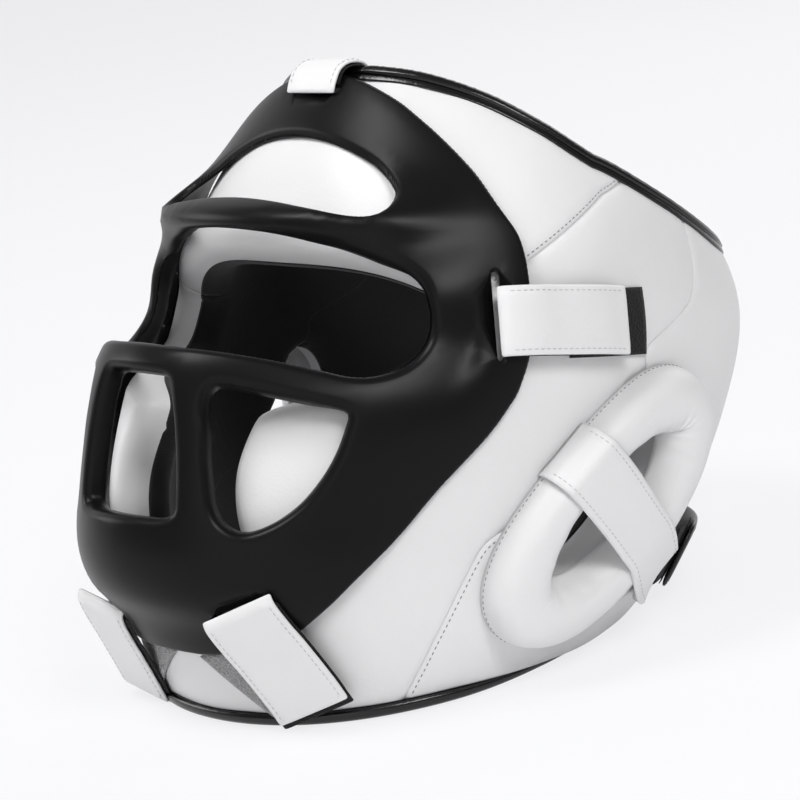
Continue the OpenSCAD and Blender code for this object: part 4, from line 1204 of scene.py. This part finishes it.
def nape():
    """The nape strap with its hook tape and loop patch."""
    phi = np.linspace(NAPE_FREE, NAPE_SEWN, 150)
    z = nape_z(phi)
    base = 3.1 + 1.2*smooth((222 - phi)/40)
    n = outward(SHELL, phi, z)
    centre = over(SHELL, phi, z, base + 1.25)
    up = unit(skin(SHELL, phi, z + 4) - skin(SHELL, phi, z - 4))
    ribbon("nape_strap_leather", "nape_strap", (centre, -up, n), NAPE_WIDTH, 2.3, "nape", "nape", "nape",
           corner=5.0, groove=2.5)
    runs = [((centre + up*w + n*1.0)[3:-3], n[3:-3]) for w in (-NAPE_SEWING, NAPE_SEWING)]
    stitches("nape_strap_stitches", runs, "nape", material="hook")
    (a, b), low, high = NAPE_TAPE, nape_z(126.0) - NAPE_SEWING, nape_z(126.0) + NAPE_SEWING
    patch("nape_hook_tape", "nape_hook", [(a, low), (b, low + 1), (b, high + 1), (a, high)], 3.7, 0.5,
          "hook", "hook", body="nape")
    patch("nape_loop_patch", "nape_loop", NAPE_PATCH, 2.8, 0.7, "dark_loop", "loop")


# PROPERTIES, OPERATORS AND PANEL

class HeadguardSizes(bpy.types.PropertyGroup):
    """Sizes that a user would change."""
    pad_wall: bpy.props.FloatProperty(name="Pad wall", description="Thickness of the padded wall",
                                      default=0.023, unit="LENGTH", min=0.018, max=0.028)
    edge_roll: bpy.props.FloatProperty(name="Edge roll", description="Radius of the rolled free edges",
                                       default=0.009, unit="LENGTH", min=0.003, max=0.011)
    seam_dip: bpy.props.FloatProperty(name="Seam dip",
                                      description="How far the leather is drawn in at seams",
                                      default=0.0016, unit="LENGTH", min=0.001, max=0.004)
    strap_width: bpy.props.FloatProperty(name="Strap width", description="Width of the mask straps",
                                         default=0.027, unit="LENGTH", min=0.022, max=0.03)


class HeadguardColours(bpy.types.PropertyGroup):
    """Colours that a user would change."""
    leather: bpy.props.FloatVectorProperty(name="Leather",
                                           description="Colour of the leather panels and straps",
                                           default=(0.8, 0.8, 0.805), subtype="COLOR", min=0, max=1)
    mask: bpy.props.FloatVectorProperty(name="Mask", description="Colour of the moulded mask",
                                        default=(0.006, 0.006, 0.0065), subtype="COLOR", min=0, max=1)
    lining: bpy.props.FloatVectorProperty(name="Lining",
                                          description="Colour of the lining and the tapes",
                                          default=(0.004, 0.004, 0.0045), subtype="COLOR", min=0, max=1)
    binding: bpy.props.FloatVectorProperty(name="Binding",
                                           description="Colour of the piping and the nape strap",
                                           default=(0.004, 0.004, 0.0045), subtype="COLOR", min=0, max=1)


# The camera: direction and rise in degrees, distance and lens in millimetres
VIEW_TURN, VIEW_RISE, VIEW_REACH, LENS = 48, 6, 1176.0, 135.0
# Floor and backdrop in metres: half-breadths, distance, lower and upper end, and their colours
FLOOR_HALF, SCREEN_HALF, SCREEN_AWAY, SCREEN_LOW, SCREEN_TOP = 6.0, 6, 4.2, -1.5, 4.5
PALE, BACKDROP = (0.9, 0.9, 0.91), (0.955, 0.958, 0.97, 1)
# Share of its own light in what a camera sees of them
GLOW_SHARE = 0.82
WORLD_STRENGTH = 0.2
# Lamps: name, place in metres, power in watts, side of the square in metres; all face LAMP_AIM
LAMPS = (("overhead", (-0.3, -0.75, 1.75), 17, 0.6), ("right_top", (1.35, -0.45, 1.45), 17, 0.6),
         ("back", (-0.5, 1.5, 1.2), 9, 1.2), ("left", (-1.7, -0.9, 0.8), 9, 0.9),
         ("front", (0.9, -1.7, 0.5), 5, 1.4))
LAMP_AIM = [0, 0, 0.1]


def seen_directly(tree):
    """One where a camera, glossy or transmission ray looks, zero for light that falls on the object."""
    path = tree.nodes.new("ShaderNodeLightPath")
    total = path.outputs["Is Camera Ray"]
    for kind in ("Is Glossy Ray", "Is Transmission Ray"):
        either = tree.nodes.new("ShaderNodeMath")
        either.operation = "MAXIMUM"
        tree.links.new(total, either.inputs[0])
        tree.links.new(path.outputs[kind], either.inputs[1])
        total = either.outputs["Value"]
    return total


def stage_material():
    """Pale matt surface that glows only where it is seen directly."""
    material, tree, shader = new_material("pale_floor", PALE, 0.95)
    glow = tree.nodes.new("ShaderNodeEmission")
    glow.inputs["Color"].default_value = BACKDROP
    share = tree.nodes.new("ShaderNodeMath")
    share.operation = "MULTIPLY"
    share.inputs[1].default_value = GLOW_SHARE
    tree.links.new(seen_directly(tree), share.inputs[0])
    mix = tree.nodes.new("ShaderNodeMixShader")
    tree.links.new(share.outputs["Value"], mix.inputs["Fac"])
    tree.links.new(shader.outputs["BSDF"], mix.inputs[1])
    tree.links.new(glow.outputs["Emission"], mix.inputs[2])
    tree.links.new(mix.outputs["Shader"], tree.nodes["Material Output"].inputs["Surface"])
    return material


def add_sheet(name, corners, material):
    """A flat sheet between four corners, apart from the object."""
    mesh = bpy.data.meshes.new(name)
    mesh.from_pydata([list(p) for p in corners], [], [[0, 1, 2, 3]])
    mesh.materials.append(material)
    add_object(name, mesh)


class HEADGUARD_OT_stage(bpy.types.Operator):
    """Sets the camera, the floor, the backdrop and the lights"""
    bl_idname = "headguard.stage"
    bl_label = "Stage"

    def execute(self, context):
        scene = context.scene
        turn, rise = math.radians(VIEW_TURN), math.radians(VIEW_RISE)
        toward = np.array([math.sin(turn)*math.cos(rise), -math.cos(turn)*math.cos(rise),
                           math.sin(rise)])
        right = unit(np.cross([0, 0, 1.0], toward))
        axes = np.stack([right, np.cross(toward, right), toward]) @ PITCHED.T
        camera = bpy.data.cameras.new("camera")
        scene.camera = add_object("camera", camera, axes, stand(toward*VIEW_REACH))
        camera.lens, camera.sensor_width = LENS, 36.0
        camera.clip_start, camera.clip_end = 0.05, 20
        scene.view_settings.view_transform = "Standard"
        material = stage_material()
        square = ((-1, -1), (1, -1), (1, 1), (-1, 1))
        add_sheet("floor", [(x*FLOOR_HALF, y*FLOOR_HALF, 0) for x, y in square], material)
        level, _, front = axes
        away = unit(-front*[1, 1, 0])*SCREEN_AWAY
        heights = {-1: SCREEN_LOW, 1: SCREEN_TOP}
        add_sheet("backdrop", [away + level*x*SCREEN_HALF + [0, 0, heights[y]] for x, y in square],
                  material)
        world = scene.world = bpy.data.worlds.new("studio")
        world.use_nodes = True
        sky = world.node_tree.nodes["Background"].inputs
        sky["Color"].default_value = (1, 1, 1, 1)
        sky["Strength"].default_value = WORLD_STRENGTH
        for name, place, power, size in LAMPS:
            lamp = bpy.data.lights.new(name, "AREA")
            lamp.energy, lamp.size = power, size
            back = unit(np.array(place) - LAMP_AIM)
            x = unit(np.cross([0, 0, 1.0], back))
            add_object(name, lamp, [x, np.cross(back, x), back], place)
        return {"FINISHED"}


class HEADGUARD_OT_shell(bpy.types.Operator):
    """Makes the padded panels with their linings and seams"""
    bl_idname = "headguard.shell"
    bl_label = "Padded shell"

    def execute(self, context):
        shell_panels()
        return {"FINISHED"}


class HEADGUARD_OT_bindings(bpy.types.Operator):
    """Makes the black piping on both edges"""
    bl_idname = "headguard.bindings"
    bl_label = "Piping"

    def execute(self, context):
        rim_binding()
        base_binding()
        return {"FINISHED"}


class HEADGUARD_OT_mask(bpy.types.Operator):
    """Makes the moulded face mask"""
    bl_idname = "headguard.mask"
    bl_label = "Face mask"

    def execute(self, context):
        face_mask()
        return {"FINISHED"}


class HEADGUARD_OT_straps(bpy.types.Operator):
    """Makes the five mask straps with their tapes and patches"""
    bl_idname = "headguard.straps"
    bl_label = "Mask straps"

    def execute(self, context):
        top_strap()
        for hand, sign in HANDS:
            side_or_chin_strap("side", hand, sign)
            side_or_chin_strap("chin", hand, sign)
            patch(hand + "_side_loop_patch", hand + "_side_loop", SIDE_PATCH, LAYER_GAP, PATCH_H,
                  "dark_loop", "loop", sign)
            patch(hand + "_chin_loop_patch", hand + "_chin_loop", CHIN_PATCH, LAYER_GAP, PATCH_H,
                  "loop", "loop", sign)
        return {"FINISHED"}


class HEADGUARD_OT_ears(bpy.types.Operator):
    """Makes the ear rolls and the bands over them"""
    bl_idname = "headguard.ears"
    bl_label = "Ears"

    def execute(self, context):
        for hand, sign in HANDS:
            ear_ring(hand, sign)
            ear_strap(hand, sign)
        return {"FINISHED"}


class HEADGUARD_OT_nape(bpy.types.Operator):
    """Makes the nape strap"""
    bl_idname = "headguard.nape"
    bl_label = "Nape strap"

    def execute(self, context):
        nape()
        return {"FINISHED"}


class HEADGUARD_PT_panel(bpy.types.Panel):
    """Sizes, colours and the steps of the build"""
    bl_idname = "HEADGUARD_PT_panel"
    bl_label = "Headguard"
    bl_space_type = "VIEW_3D"
    bl_region_type = "UI"
    bl_category = "Headguard"

    def draw(self, context):
        for group in (context.scene.headguard_sizes, context.scene.headguard_colours):
            for key in group.__annotations__:
                self.layout.prop(group, key)
        for step in STEPS:
            self.layout.operator(step.bl_idname)


STEPS = (HEADGUARD_OT_stage, HEADGUARD_OT_shell, HEADGUARD_OT_bindings, HEADGUARD_OT_mask,
         HEADGUARD_OT_straps, HEADGUARD_OT_ears, HEADGUARD_OT_nape)
CLASSES = (HeadguardSizes, HeadguardColours, *STEPS, HEADGUARD_PT_panel)


def register():
    """Registers the classes and the scene's two groups of settings."""
    for c in CLASSES:
        bpy.utils.register_class(c)
    bpy.types.Scene.headguard_sizes = bpy.props.PointerProperty(type=HeadguardSizes)
    bpy.types.Scene.headguard_colours = bpy.props.PointerProperty(type=HeadguardColours)


def unregister():
    """Takes the settings and the classes away again."""
    del bpy.types.Scene.headguard_colours
    del bpy.types.Scene.headguard_sizes
    for c in reversed(CLASSES):
        bpy.utils.unregister_class(c)


def main():
    """Runs the steps in order."""
    register()
    for step in (bpy.ops.headguard.stage, bpy.ops.headguard.shell, bpy.ops.headguard.bindings,
                 bpy.ops.headguard.mask, bpy.ops.headguard.straps, bpy.ops.headguard.ears,
                 bpy.ops.headguard.nape):
        step()


if __name__ == "__main__":
    main()
